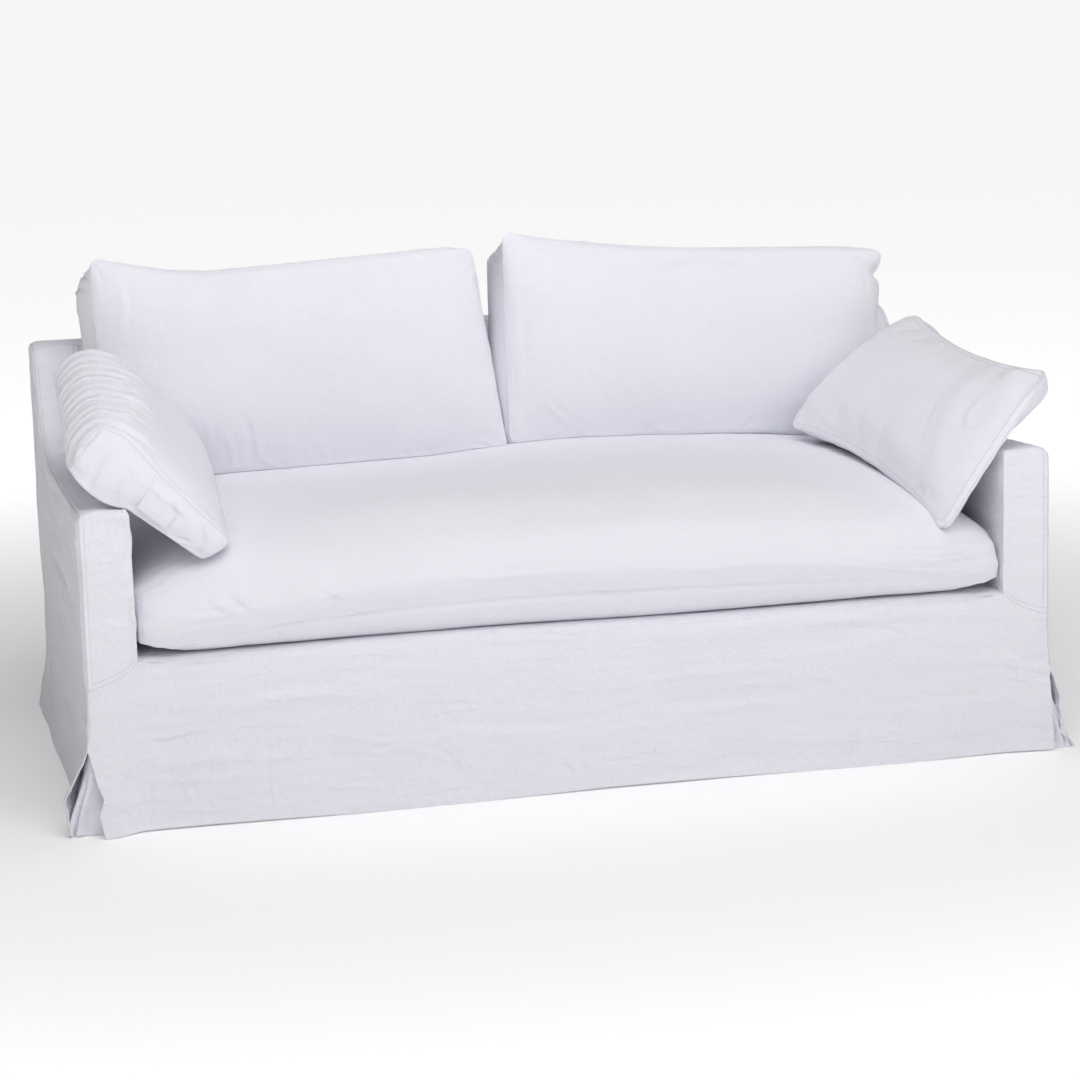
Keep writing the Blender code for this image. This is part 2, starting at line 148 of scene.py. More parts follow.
def spline_weights(count, at):
    """Catmull-Rom weights of count evenly numbered points at fractional
    numbers, one row for each place."""
    at = np.asarray(at, float)
    first = np.clip(np.floor(at).astype(int), 0, count - 2)
    t = at - first
    parts = (
        -0.5 * t + t ** 2 - 0.5 * t ** 3,
        1.0 - 2.5 * t ** 2 + 1.5 * t ** 3,
        0.5 * t + 2.0 * t ** 2 - 1.5 * t ** 3,
        -0.5 * t ** 2 + 0.5 * t ** 3,
    )
    weights = np.zeros((len(at), count))
    rows = np.arange(len(at))
    for offset, part in zip((-1, 0, 1, 2), parts):
        column = first + offset
        under = column < 0
        over = column > count - 1
        inner = np.clip(column, 0, count - 1)
        np.add.at(weights, (rows, inner), np.where(under | over, 2.0, 1.0) * part)
        np.add.at(weights, (rows[under], 1 + 0 * rows[under]), -part[under])
        last = np.full(over.sum(), count - 2)
        np.add.at(weights, (rows[over], last), -part[over])
    return weights


def along_curve(table, at):
    """Place, and unit normal out of the cover, on a smooth profile."""
    points = np.array(table)
    flat = np.clip(np.ravel(at), 0.0, len(points) - 1.0)
    spots = spline_weights(len(points), flat) @ points
    step = 0.02
    ahead = spline_weights(len(points), np.minimum(flat + step, len(points) - 1.0))
    behind = spline_weights(len(points), np.maximum(flat - step, 0.0))
    run = (ahead - behind) @ points
    run /= np.linalg.norm(run, axis=1, keepdims=True)
    shape = np.shape(at)
    return (spots[:, 0].reshape(shape), spots[:, 1].reshape(shape),
            -run[:, 1].reshape(shape), run[:, 0].reshape(shape))


SEAM_STEPS = (0.0, 0.0012, 0.003, 0.0055, 0.008, 0.0102, 0.0118, 0.0138, 0.017)


def stations(length, step, ends=(True, True)):
    """Places along a length, close together near its sewn ends."""
    low = np.array(SEAM_STEPS if ends[0] else (0.0,))
    high = length - np.array(SEAM_STEPS if ends[1] else (0.0,))[::-1]
    count = max(2, round((high[0] - low[-1]) / step) + 1)
    middle = np.linspace(low[-1], high[0], count)
    return np.concatenate([low[:-1], middle, high[1:]])


def unrolled(table, step, first=0.0, last=None):
    """Distances along a profile, about step apart, and a function that gives
    the profile's y and z at such a distance."""
    last = len(table) - 1.0 if last is None else last
    fine = np.linspace(first, last, 600)
    y, z, _, _ = along_curve(table, fine)
    run = np.concatenate([[0.0], np.cumsum(np.hypot(np.diff(y), np.diff(z)))])
    runs = stations(run[-1], step)
    rows = np.interp(runs, run, fine)

    def spot(at):
        return along_curve(table, np.interp(at, runs, rows))[:2]
    return runs, spot


def across(half, step):
    """Places across the cover, from -half to half."""
    return stations(2.0 * half, step) - half


def noise(a, b, seed):
    """Smooth noise from -1 to 1 over a plane, one bump to a unit."""
    i = np.floor(a)
    j = np.floor(b)
    s = a - i
    t = b - j
    s = s * s * s * (s * (6.0 * s - 15.0) + 10.0)
    t = t * t * t * (t * (6.0 * t - 15.0) + 10.0)

    def corner(di, dj):
        mix = np.sin((i + di) * 127.1 + (j + dj) * 311.7 + seed * 74.7) * 43758.5453
        return 2.0 * (mix - np.floor(mix)) - 1.0

    low = corner(0, 0) + (corner(1, 0) - corner(0, 0)) * s
    high = corner(0, 1) + (corner(1, 1) - corner(0, 1)) * s
    return low + (high - low) * t


def wave(x, y, z, shift):
    """Sum of the drift waves at a place."""
    total = 0.0
    for size, across, along, up, phase in DRIFT:
        turns = across * x + along * y + up * z
        total = total + size * np.sin(2.0 * math.pi * turns + phase + shift)
    return total


def drift(p):
    """Move places with the cover's common unevenness and skirt swing."""
    x, y, z = p[..., 0], p[..., 1], p[..., 2]
    side = ease(0.80, 0.95, np.abs(x)) * np.sign(x)
    front = ease(-0.40, -0.49, y)
    rear = ease(0.40, 0.49, y)
    out = np.clip((FLARE_FROM - z) / FLARE_FROM, 0.0, None) ** 1.6
    pull = ease(0.55, 0.95, x) * ease(0.10, 0.45, y) * ease(0.725, 0.82, z)
    loose = ease(-0.72, -0.95, x) * ease(0.0, 0.5, y) * (0.35 + 0.65 * ease(0.05, 0.5, z))
    dx = SIDE_FLARE * out * side + 0.8 * wave(x, y, z, 0.0)
    dx = dx - PULL[0] * pull - LOOSE * loose
    dy = REAR_FLARE * out * rear - FRONT_FLARE * out * front
    dy = dy + 0.8 * wave(x, y, z, 1.7)
    hold = ease(0.0, 0.12, z)
    dz = 0.6 * hold * wave(x, y, z, 3.1) - PULL[1] * pull
    return np.stack([x + dx, y + dy, z + dz], -1)


def rounded(depth_a, depth_b, radius):
    """How far two faces draw back where they meet in a round edge.

    depth_a and depth_b are the depths under each face; the result is how
    much deeper the place sinks under each."""
    into_a = np.maximum(radius - depth_a, 0.0)
    into_b = np.maximum(radius - depth_b, 0.0)
    size = np.hypot(into_a, into_b)
    share = np.where((into_a > 0) & (into_b > 0),
                     np.maximum(into_a, into_b) / np.maximum(size, 1e-9), 1.0)
    return into_a * (1.0 - share), into_b * (1.0 - share)


OUTER_ROUND = 0.019     # radius of the arm's outer top edge
INNER_ROUND = 0.010     # radius of the arm's inner top edge
FRONT_ROUND = 0.007     # radius of the arm front's edges
DECK_ROUND = 0.030      # radius of the seat's front edge
BACK_ROUND = 0.009      # radius of the back's top edges


def soften(p):
    """Round the cover's edges, on places before the drift."""
    x, y, z = p[..., 0], p[..., 1], p[..., 2]
    side = np.sign(x)
    rows = np.linspace(0.0, len(ARM_FULL) - 1.0, 400)
    curve = np.array(along_curve(ARM_FULL, rows))
    curve = curve[:, np.argsort(curve[0])]
    top, ny, nz = (np.interp(y, curve[0], values) for values in curve[1:])
    over_arm = np.abs(x) > ARM_IN - 0.004
    depth = np.where(over_arm, (top - z) * nz, 1.0)
    inner = np.maximum(INNER_ROUND * ease(0.37, 0.32, y), 1e-6)
    for way, face, radius in ((-1.0, BODY_HALF, OUTER_ROUND), (1.0, ARM_IN, inner)):
        inwards = np.where(over_arm, way * (np.abs(x) - face), 1.0)
        outward, sunk = rounded(inwards, depth, radius)
        x = x + way * side * outward
        y = y - ny * sunk
        z = z - nz * sunk
    for other, radius in ((depth, FRONT_ROUND + 0.003), (BODY_HALF - np.abs(x), FRONT_ROUND)):
        solid = ease(VENT_TOP, VENT_TOP + 0.03, z)
        outward, sunk = rounded(other, y - FRONT, radius * solid + 1e-6)
        y = y + sunk
        if other is depth:
            z = z - outward
        else:
            x = x - side * outward
    inside = ease(ARM_IN, ARM_IN - 0.03, np.abs(x))
    sunk, back = rounded(DECK - z, y - FRONT, DECK_ROUND * inside + 1e-6)
    low = z < DECK + 0.001
    z = np.where(low, z - sunk, z)
    y = np.where(low, y + back, y)
    high = z > 0.6
    sunk, forward = rounded(TOP_PROFILE[-1][1] - z, BACK - y, BACK_ROUND)
    z = np.where(high, z - sunk, z)
    y = np.where(high, y - forward, y)
    return np.stack([x, y, z], -1)


# ---------------------------------------------------------------- relief


def fell_relief(distance, along, seed):
    """Height of a felled seam: a raised strip up to its stitch row, with the
    cloth puckered beside it."""
    strip = ease(0.0, 0.0022, distance) - ease(FELL - 0.001, FELL + 0.0018, distance)
    row = np.exp(-((distance - FELL - 0.0012) / 0.0016) ** 2)
    pucker = noise(along / 0.019, distance / 0.03, seed)
    return (FELL_HEIGHT * strip - ROW_DEPTH * row
            + 0.0005 * pucker * np.exp(-distance / 0.018) * ease(0.0, 0.003, distance))


def crease_relief(a, b, creases, deep):
    """Height of creases, which fade towards both of their ends.  A row holds a
    path as one place on the cloth after another, a width and a height, which
    deep multiplies."""
    total = np.zeros(np.shape(a))
    for path, width, height in creases:
        near = np.full(np.shape(a), 1e9)
        signed = np.zeros(np.shape(a))
        share = np.zeros(np.shape(a))
        points = np.reshape(path, (-1, 2)) * MILLIMETRE
        width, height = width * MILLIMETRE, deep * height * MILLIMETRE
        finer = np.linspace(0, len(points) - 1.0, 4 * len(points))
        points = spline_weights(len(points), finer) @ points
        runs = np.linalg.norm(np.diff(points, axis=0), axis=1)
        starts = np.concatenate([[0.0], np.cumsum(runs)])
        for start, end, before, run in zip(points, points[1:], starts, runs):
            way = (end - start) / max(run, 1e-9)
            da = a - start[0]
            db = b - start[1]
            on = np.clip(da * way[0] + db * way[1], 0.0, run)
            off_a = da - on * way[0]
            off_b = db - on * way[1]
            away = np.hypot(off_a, off_b)
            closer = away < near
            near = np.where(closer, away, near)
            signed = np.where(closer, way[0] * off_b - way[1] * off_a, signed)
            share = np.where(closer, (before + on) / starts[-1], share)
        fade = np.sin(np.pi * np.clip(share, 0.02, 0.98)) ** 0.7
        ridge = np.exp(-(near / width) ** 2)
        trough = np.exp(-((signed - 1.7 * width) / (1.1 * width)) ** 2) * (near < 4.0 * width)
        total += height * fade * (ridge - 0.55 * trough * np.exp(-(near / (3.0 * width)) ** 4))
    return total


# ---------------------------------------------------------------- linen


def plug(tree, node, inputs):
    """Fill a node's inputs; each is given a value or a socket."""
    for key, value in inputs.items():
        if isinstance(value, bpy.types.NodeSocket):
            tree.links.new(value, node.inputs[key])
        else:
            node.inputs[key].default_value = value


def add(tree, kind, inputs={}, **settings):
    """Shader node with its settings and inputs."""
    made = tree.nodes.new(kind)
    for key, value in settings.items():
        setattr(made, key, value)
    plug(tree, made, inputs)
    return made


def maths(tree, operation, a, b=0.0, c=0.0):
    """Result of a Math node."""
    return add(tree, "ShaderNodeMath", {0: a, 1: b, 2: c}, operation=operation).outputs[0]


def layered(tree, total, *layers):
    """A total with each layer added times its share."""
    for layer, share in layers:
        total = maths(tree, "MULTIPLY_ADD", layer, share, total)
    return total


def texture(tree, where, scale, detail, **inputs):
    """Value of a noise texture; scale is one number, or one for each way."""
    if isinstance(scale, tuple):
        place_at = {"Vector": where, "Scale": (*scale, 1.0)}
        where = add(tree, "ShaderNodeMapping", place_at).outputs[0]
        scale = 1.0
    inputs.update({"Vector": where, "Scale": scale, "Detail": detail})
    return add(tree, "ShaderNodeTexNoise", inputs).outputs[0]


THREAD = 0.0011         # from one thread to the next
SLUBS = (70.0, 1500.0)  # slubs in a metre along a thread and across it
CRUMPLES = 75.0         # crumples in a metre
SLACKS = (9.0, 48.0)    # slack ripples in a metre, along and up the cloth
STITCH = 0.0034         # from one stitch to the next
STITCH_SHARE = 0.68     # share of that under the stitch's thread
ROWS = (0.0018, FELL + 0.0002)      # stitch rows from the seam
WEAVE_HEIGHT = 0.00005  # heights in the bump, in metres
SLUB_HEIGHT = 0.00012
STITCH_HEIGHT = 0.00030
HOLE_HEIGHT = -0.00025


def linen(name, colour, crumple_height, slack_height):
    """White woven cotton: threads, slubs, crumples, level slack ripples and
    stitched seams, whose sunk stitch rows and stitch holes carry painted shade."""
    made = bpy.data.materials.new(name)
    made.use_nodes = True
    tree = made.node_tree
    cloth = add(tree, "ShaderNodeUVMap", uv_map="cloth").outputs[0]
    ways = add(tree, "ShaderNodeSeparateXYZ", {0: cloth}).outputs
    pitch = 2.0 * math.pi / THREAD
    warp, weft = (maths(tree, "SINE", maths(tree, "MULTIPLY", way, pitch)) for way in ways[:2])
    weave = maths(tree, "MULTIPLY", warp, weft)
    slubs = [texture(tree, cloth, scale, 2.0) for scale in (SLUBS, SLUBS[::-1])]
    threads = maths(tree, "ADD", *slubs)
    where = add(tree, "ShaderNodeTexCoord").outputs["Object"]
    mottle = texture(tree, where, 5.0, 5.0)
    crumple = texture(tree, where, CRUMPLES, 3.0, Roughness=0.55, Distortion=0.6)
    slack = texture(tree, cloth, SLACKS, 2.5, Distortion=0.7)
    seam = add(tree, "ShaderNodeAttribute", attribute_name="seam").outputs["Fac"]
    along = add(tree, "ShaderNodeAttribute", attribute_name="along").outputs["Fac"]
    beat = maths(tree, "FRACT", maths(tree, "DIVIDE", along, STITCH))
    dash = maths(tree, "LESS_THAN", beat, STITCH_SHARE)
    rows = []
    for distance in ROWS:
        away = maths(tree, "ABSOLUTE", maths(tree, "SUBTRACT", seam, distance))
        row = add(tree, "ShaderNodeMapRange", {0: away, 1: 0.0005, 2: 0.0012, 3: 1.0, 4: 0.0})
        rows.append(row.outputs[0])
    row = maths(tree, "MAXIMUM", *rows)
    stitch = maths(tree, "MULTIPLY", row, dash)
    hole = maths(tree, "SUBTRACT", row, stitch)
    # Thread and mottle tone, plus painted shade: the colour is darkened along the sunk stitch
    # rows, and more in the holes between stitches, where shade falls.
    tone_and_painted_shade = layered(tree, 0.925, (threads, 0.05), (mottle, 0.05), (hole, -0.20), (row, -0.07))
    tinted = add(tree, "ShaderNodeVectorMath", {0: colour, "Scale": tone_and_painted_shade}, operation="SCALE")
    height = layered(tree, 0.0, (weave, WEAVE_HEIGHT), (threads, SLUB_HEIGHT),
                     (crumple, crumple_height), (slack, slack_height),
                     (stitch, STITCH_HEIGHT), (hole, HOLE_HEIGHT))
    bump = add(tree, "ShaderNodeBump", {"Height": height, "Distance": 1.0, "Strength": 0.7})
    plug(tree, tree.nodes["Principled BSDF"], {
        "Base Color": tinted.outputs[0],
        "Roughness": layered(tree, 0.80, (threads, 0.10)),
        "Sheen Weight": 0.12,
        "Sheen Roughness": 0.6,
        "Specular IOR Level": 0.25,
        "Normal": bump.outputs[0],
    })
    return made


LINEN_COLOUR = (0.880, 0.878, 0.942)
COVER_LOOK = linen("cover_linen", LINEN_COLOUR, 0.0044, 0.0075)
CUSHION_LOOK = linen("cushion_linen", LINEN_COLOUR, 0.0026, 0.0018)

# ---------------------------------------------------------------- meshes


def grid_quads(index, flip):
    """Quads of a grid of vertex numbers."""
    corners = [index[:-1, :-1], index[1:, :-1], index[1:, 1:], index[:-1, 1:]]
    quads = np.stack(corners, -1).reshape(-1, 4)
    return quads[:, ::-1] if flip else quads


def new_piece(name, points, quads, uv, seam, along, material, rim=None):
    """Mesh object with smooth shading, its cloth map and its seam marks; uv
    holds one place on the flat cloth for each corner of each quad, and rim
    tells which vertices lie on the cloth's cut edge."""
    name = name + "_cloth"
    mesh = bpy.data.meshes.new(name)
    mesh.vertices.add(len(points))
    mesh.vertices.foreach_set("co", points.astype(np.float32).ravel())
    mesh.loops.add(quads.size)
    mesh.loops.foreach_set("vertex_index", quads.astype(np.int32).ravel())
    mesh.polygons.add(len(quads))
    mesh.polygons.foreach_set("loop_start", np.arange(0, quads.size, 4, dtype=np.int32))
    mesh.update(calc_edges=True)
    layer = mesh.uv_layers.new(name="cloth")
    layer.data.foreach_set("uv", uv.astype(np.float32).ravel())
    for label, values in (("seam", seam), ("along", along)):
        mark = mesh.attributes.new(label, "FLOAT", "POINT")
        mark.data.foreach_set("value", values.astype(np.float32))
    mesh.shade_smooth()
    if rim is not None:
        ends = np.zeros(2 * len(mesh.edges), np.int32)
        mesh.edges.foreach_get("vertices", ends)
        sharp = rim[ends.reshape(-1, 2)].all(axis=1)
        mesh.attributes.new("sharp_edge", "BOOLEAN", "EDGE").data.foreach_set("value", sharp)
    mesh.materials.append(material)
    piece = bpy.data.objects.new(name, mesh)
    bpy.context.scene.collection.objects.link(piece)
    return piece


def sheet_normals(points, flip):
    """Unit normals of a grid of places."""
    first = np.gradient(points, axis=0)
    second = np.gradient(points, axis=1)
    normal = np.cross(first, second)
    normal /= np.maximum(np.linalg.norm(normal, axis=-1, keepdims=True), 1e-12)
    return -normal if flip else normal


def panel(name, us, vs, shape, sewn="uUvV", corner="", fells="", flip=False,
          creases=(), deep=1.0, ripple=None, look=COVER_LOOK):
    """One panel of the cover as a closed sheet.

    us and vs are distances along the cloth; shape gives the places before
    the drift.  sewn and fells name edges by u, U, v and V: the first or the
    last of a direction.  A sewn edge meets its neighbour, a corner edge does
    so above the open vent, and a felled one carries the strip."""
    u, v = np.meshgrid(us, vs, indexing="ij")
    outer = drift(soften(shape(u, v)))
    normal = sheet_normals(outer, flip)
    edges = {"u": (u - us[0], v), "U": (us[-1] - u, v),
             "v": (v - vs[0], u), "V": (vs[-1] - v, u)}
    held = np.full(u.shape, 1.0)
    seam = held.copy()
    along = v.copy()
    relief = np.zeros(u.shape)
    parted = 1.0 - ease(VENT_TOP - 0.004, VENT_TOP + 0.012, outer[..., 2])
    for key, (distance, run) in edges.items():
        if key in sewn:
            held = np.minimum(held, distance)
        if key in corner:
            held = np.minimum(held, distance + parted)
        if key in fells:
            relief = np.maximum(relief, fell_relief(distance, run, 1))
            closer = distance < seam
            seam = np.where(closer, distance, seam)
            along = np.where(closer, run, along)
    free = crease_relief(u, v, creases, deep)
    if ripple is not None:
        free = free + ripple(u, v)
    relief = relief * ease(0.0, 0.002, held) + free * ease(0.0, FREE_FROM, held)
    outer = outer + normal * relief[..., None]
    normal = sheet_normals(outer, flip)
    thick = CLOTH * ease(0.0, 0.004, held)
    inner = outer - normal * thick[..., None]
    count = u.size
    top = np.arange(count).reshape(u.shape)
    low = top + count
    closed = held <= 0.0
    low = np.where(closed, top, low)
    quads = [grid_quads(top, flip), grid_quads(low, not flip)]
    for line, turn in (((0, slice(None)), flip), ((-1, slice(None)), not flip),
                       ((slice(None), 0), not flip), ((slice(None), -1), flip)):
        rim = np.stack([top[line], low[line]], 1)
        rim_quads = grid_quads(rim, not turn)
        real = np.array([len(set(q)) == 4 for q in rim_quads], bool)
        quads.append(rim_quads[real])
    points = np.concatenate([outer.reshape(-1, 3), inner.reshape(-1, 3)])
    quads = np.concatenate(quads)
    used, quads = np.unique(quads, return_inverse=True)
    quads = quads.reshape(-1, 4)
    points = points[used]
    pair = np.concatenate([np.arange(count), np.arange(count)])[used]
    flat = np.stack([u.ravel(), v.ravel()], 1)[pair]
    rim = np.ones(u.shape, bool)
    rim[1:-1, 1:-1] = False
    return new_piece(name, points, quads, flat[quads], seam.ravel()[pair],
                     along.ravel()[pair], look, rim.ravel()[pair])


# ---------------------------------------------------------------- cover


def hem_height(run):
    """Height of the hem, uneven along the skirt."""
    return HEM_LIFT + HEM_WAVE * np.sin(7.3 * run + 0.6)


def hem_relief(height):
    """Turned hem: a second layer up to its stitch row."""
    turned = ease(HEM_WIDTH + 0.001, HEM_WIDTH - 0.001, height)
    row = np.exp(-((height - HEM_WIDTH) / 0.0018) ** 2)
    return HEM_HEIGHT * turned - ROW_DEPTH * row


def slack(seed, size=1.0, hem=False, turned=False):
    """Relief of a panel's cloth: the faint level ripples and slacks of washed
    cloth, and at the low edge a hem.  turned is for a panel that runs up its
    first direction."""
    def relief(u, v):
        u, v = (v, u) if turned else (u, v)
        bend = 0.35 * noise(u / 0.30, v / 0.12, seed + 9)
        fine = noise(u / 0.16, v / 0.016 + bend, seed)
        mid = noise(u / 0.26, v / 0.034 + bend, seed + 3)
        broad = noise(u / 0.30, v / 0.11, seed + 5)
        patch = 0.6 + 0.4 * noise(u / 0.25, v / 0.2, seed + 7)
        folds = size * (0.0026 * fine * patch + 0.0034 * mid + 0.0026 * broad)
        return hem_relief(v) + folds if hem else folds
    return relief


def sway(run, z, turns, phase, top, corners):
    """How far the skirt waves in and out, low down and between its corners."""
    waves = SKIRT_SWAY * np.sin(turns * run + phase) * ease(top, 0.05, z)
    return waves * (1.0 - ease(*corners, np.abs(run)))


def place(x, y, z):
    """Places from three arrays."""
    return np.stack(np.broadcast_arrays(x, y, z), -1)


SKIRT_TALL = 0.333      # cloth length of the skirt's front
SIDE_TALL = 0.60        # mean cloth length of a side
INSIDE_TALL = 0.26      # mean cloth length of an arm's inside
INSIDE_END = 10         # row of ARM_PROFILE where the arm's inside meets the back
DECK_DIP = 0.005        # how far the deck sinks at its front corners
SKIRT_CREASES = (
    # path of x and height, width, height; millimetres, as in all such tables
    ((-850, 174, -820, 171, -773, 180, -736, 181), 4, -2.2),
    ((-810, 108, -787, 85, -779, 61, -767, 39), 4, 2),
    ((-849, 118, -850, 59, -850, 3), 3.2, -1.1),
    ((-627, 148, -627, 78, -628, 8), 3.2, -0.9),
    ((552, 160, 550, 90, 547, 17), 3.2, -1.3),
    ((651, 151, 617, 52), 3.2, 1.1),
    ((672, 149, 638, 50), 3.2, 1.1),
    ((769, 119, 777, 4), 3.2, -0.9),
    ((-442, 203, -368, 253), 4, 1.4),
    ((-367, 195, -288, 199, -189, 189), 4.5, -1.6),
    ((-129, 212, -11, 206), 5, 1.4),
    ((-497, 157, -430, 142, -361, 132), 5.5, 1.8),
    ((-509, 129, -411, 117, -371, 121, -293, 96, -234, 74), 5.5, 2.2),
    ((-278, 112, -259, 91, -245, 56), 3.5, 2.2),
    ((-54, 64, -24, 35), 4, -1.6),
    ((-14, 56, 46, 43, 106, 45), 4.5, 1.4),
    ((-512, 60, -395, 49), 4.5, 1.4),
    ((226, 28, 287, 54, 296, 33), 4, 2),
    ((522, 60, 543, 11), 4, 1.8),
    ((916, 83, 949, 35), 4, 1.6),
    ((-789, 51, -702, 94, -566, 134), 11, 2.6),
    ((48, 197, 228, 220, 474, 211), 10, 2),
    ((107, 119, 308, 147, 534, 142), 11, 2.2),
    ((-300, 150, -150, 128, 30, 124), 9, 1.8),
    ((-700, 225, -560, 240, -400, 222), 10, 1.8),
)
ARM_FRONT_CREASES = {
    # path of distance from the inner edge and height, width, height
    "left": (
        ((74, 32, 36, 40, 7, 11), 4, 1.6),
        ((77, 19, 43, 8), 4, 1.2),
        ((65, 127, 29, 106, 5, 97), 6, 1.4),
        ((63, 97, 30, 76, 4, 64), 6, 1.4),
        ((44, 181, 17, 158), 5, 1.2),
    ),
    "right": (
        ((2, 16, 19, 13, 45, 11), 4, 2.6),
        ((10, 60, 50, 90), 6, 1.2),
    ),
}

# How far the skirt's open corners part: the front flaps are drawn in towards
# the middle and curl back, the side flaps swing out, and the rear ones lean in.
FRONT_CURL = (0.030, 0.010)     # left and right
REAR_LEAN = 0.020
FRONT_DRAW = {
    # height, distance
    "left": ((0.0, 0.042), (0.045, 0.028), (0.075, 0.034), (0.103, 0.021), (0.130, 0.013),
             (VENT_TOP, 0.0)),
    "right": ((0.0, 0.016), (VENT_TOP, 0.0)),
}
SIDE_SWING = {
    "left": ((0.0, 0.016), (0.036, 0.027), (0.081, 0.033), (0.103, 0.026), (0.122, 0.018),
             (VENT_TOP, 0.0)),
    "right": ((0.0, 0.028), (0.012, 0.022), (0.030, 0.006), (0.072, 0.012), (0.110, 0.014),
              (0.140, 0.008), (VENT_TOP, 0.0)),
}


def skirt_front():
    def shape(x, height):
        low = hem_height(x)
        z = low + (read(SKIRT_SEAM, np.abs(x)) - low) * (height / SKIRT_TALL)
        corner = ease(0.84, 0.96, np.abs(x))
        curl = np.where(x < 0.0, *FRONT_CURL) * ease(VENT_TOP, 0.0, z) * corner
        drawn = np.where(x < 0.0, *(read(FRONT_DRAW[hand], z) for _, hand in SIDES))
        x = x - np.sign(x) * drawn * corner
        return place(x, FRONT + sway(x, z, 5.2, 0.7, 0.30, (0.70, 0.86)) - curl, z)
    heights = stations(SKIRT_TALL, 0.0042, (False, True))
    return panel("skirt_front", across(BODY_HALF, 0.0050), heights, shape, sewn="V",
                 corner="uU", creases=SKIRT_CREASES, deep=2.2, ripple=slack(11, hem=True))


def arm_front(side, hand):
    width = BODY_HALF - ARM_IN
    tall = ARM_PROFILE[0][1] - SKIRT_SEAM[-1][1]

    def shape(beyond, height):
        x = ARM_IN + beyond
        low = read(SKIRT_SEAM, x)
        return place(side * x, FRONT, low + (ARM_PROFILE[0][1] - low) * height / tall)
    return panel("arm_front_" + hand, stations(width, 0.004), stations(tall, 0.004), shape,
                 fells="Uv", ripple=slack(21 + side, 0.8), flip=side < 0,
                 creases=ARM_FRONT_CREASES[hand])


def arm_top(side, hand):
    runs, spot = unrolled(ARM_FULL, 0.0065, 0.0, len(ARM_PROFILE) - 1.0)

    def shape(beyond, run):
        return place(side * (ARM_IN + beyond), *spot(run))
    return panel("arm_top_" + hand, stations(BODY_HALF - ARM_IN, 0.006), runs, shape,
                 fells="uU", ripple=slack(31 + side, 0.8, turned=True), flip=side < 0)


def side_panel(side, hand):
    runs, spot = unrolled(ARM_FULL, 0.0075)

    def shape(run, height):
        y, top = spot(run)
        low = hem_height(y + 2.0)
        z = low + (top - low) * height / SIDE_TALL
        flap = read(SIDE_SWING[hand], z) * ease(-0.40, -0.49, y)
        waves = sway(y, z, 9.0, 0.5, 0.25, (0.28, 0.40))
        return place(side * (BODY_HALF + flap + waves), y, z)
    heights = stations(SIDE_TALL, 0.0075, (False, True))
    return panel("side_" + hand, runs, heights, shape, sewn="V", corner="uU", fells="uUV",
                 ripple=slack(41 + side, hem=True), flip=side < 0)


def arm_inside(side, hand):
    runs, spot = unrolled(ARM_PROFILE, 0.0085, 0.0, INSIDE_END)
    end_y = ARM_PROFILE[INSIDE_END][0]

    def shape(run, height):
        top_y, top = spot(run)
        low_y = FRONT + (BACK_PROFILE[0][0] - FRONT) * (top_y - FRONT) / (end_y - FRONT)
        low = DECK - DECK_DIP * ease(-0.47, -0.50, low_y)
        share = height / INSIDE_TALL
        return place(side * ARM_IN, low_y + (top_y - low_y) * share, low + (top - low) * share)
    return panel("arm_inside_" + hand, runs, stations(INSIDE_TALL, 0.0085), shape,
                 ripple=slack(51 + side), flip=side > 0)


def back_inside():
    runs, spot = unrolled(BACK_PROFILE, 0.020)

    def shape(x, run):
        return place(x, *spot(run))
    return panel("back_inside", across(ARM_IN, 0.020), runs, shape, ripple=slack(61))


def back_top():
    first = len(ARM_PROFILE) - 1.0
    runs, spot = unrolled(ARM_FULL, 0.007, first, first + 2.0)

    def shape(x, run):
        return place(x, *spot(run))
    return panel("back_top", across(BODY_HALF, 0.010), runs, shape, fells="v")


def back_outside():
    tall = TOP_PROFILE[-1][1]

    def shape(x, height):
        low = hem_height(x + 4.0)
        z = low + (tall - low) * height / tall
        lean = REAR_LEAN * ease(VENT_TOP, 0.0, z) * ease(0.80, 0.96, np.abs(x))
        waves = sway(x, z, 6.1, 1.9, 0.30, (0.70, 0.86))
        return place(x - np.sign(x) * lean, BACK + waves, z)
    return panel("back_outside", across(BODY_HALF, 0.013), stations(tall, 0.013, (False, True)),
                 shape, sewn="V", corner="uU", fells="uUV", ripple=slack(71, hem=True),
                 flip=True)


def seat_deck():
    def shape(x, run):
        y = FRONT + run
        dip = DECK_DIP * ease(0.84, ARM_IN, np.abs(x)) * ease(-0.47, -0.50, y)
        return place(x, y, DECK - dip)
    depth = BACK_PROFILE[0][0] - FRONT
    return panel("seat_deck", across(ARM_IN, 0.030), stations(depth, 0.030), shape)


# The folded cloth behind an open corner of the skirt, in plan.
VENT_PATH = (
    # closed x, closed y, open x, open y; distances from the middle
    (0.8900, 0.4967, 0.8900, 0.4967),
    (0.9200, 0.4965, 0.9200, 0.4962),
    (0.9380, 0.4950, 0.9480, 0.4880),
    (0.9480, 0.4925, 0.9670, 0.4990),
    (0.9535, 0.4870, 0.9650, 0.4830),
    (0.9550, 0.4780, 0.9830, 0.4930),
    (0.9560, 0.4650, 0.9760, 0.4750),
    (0.9567, 0.4500, 0.9730, 0.4540),
    (0.9567, 0.4200, 0.9567, 0.4200),
)
VENT_TALL = 0.195       # height of the folded cloth
VENT_RUN = 0.12         # length along VENT_PATH


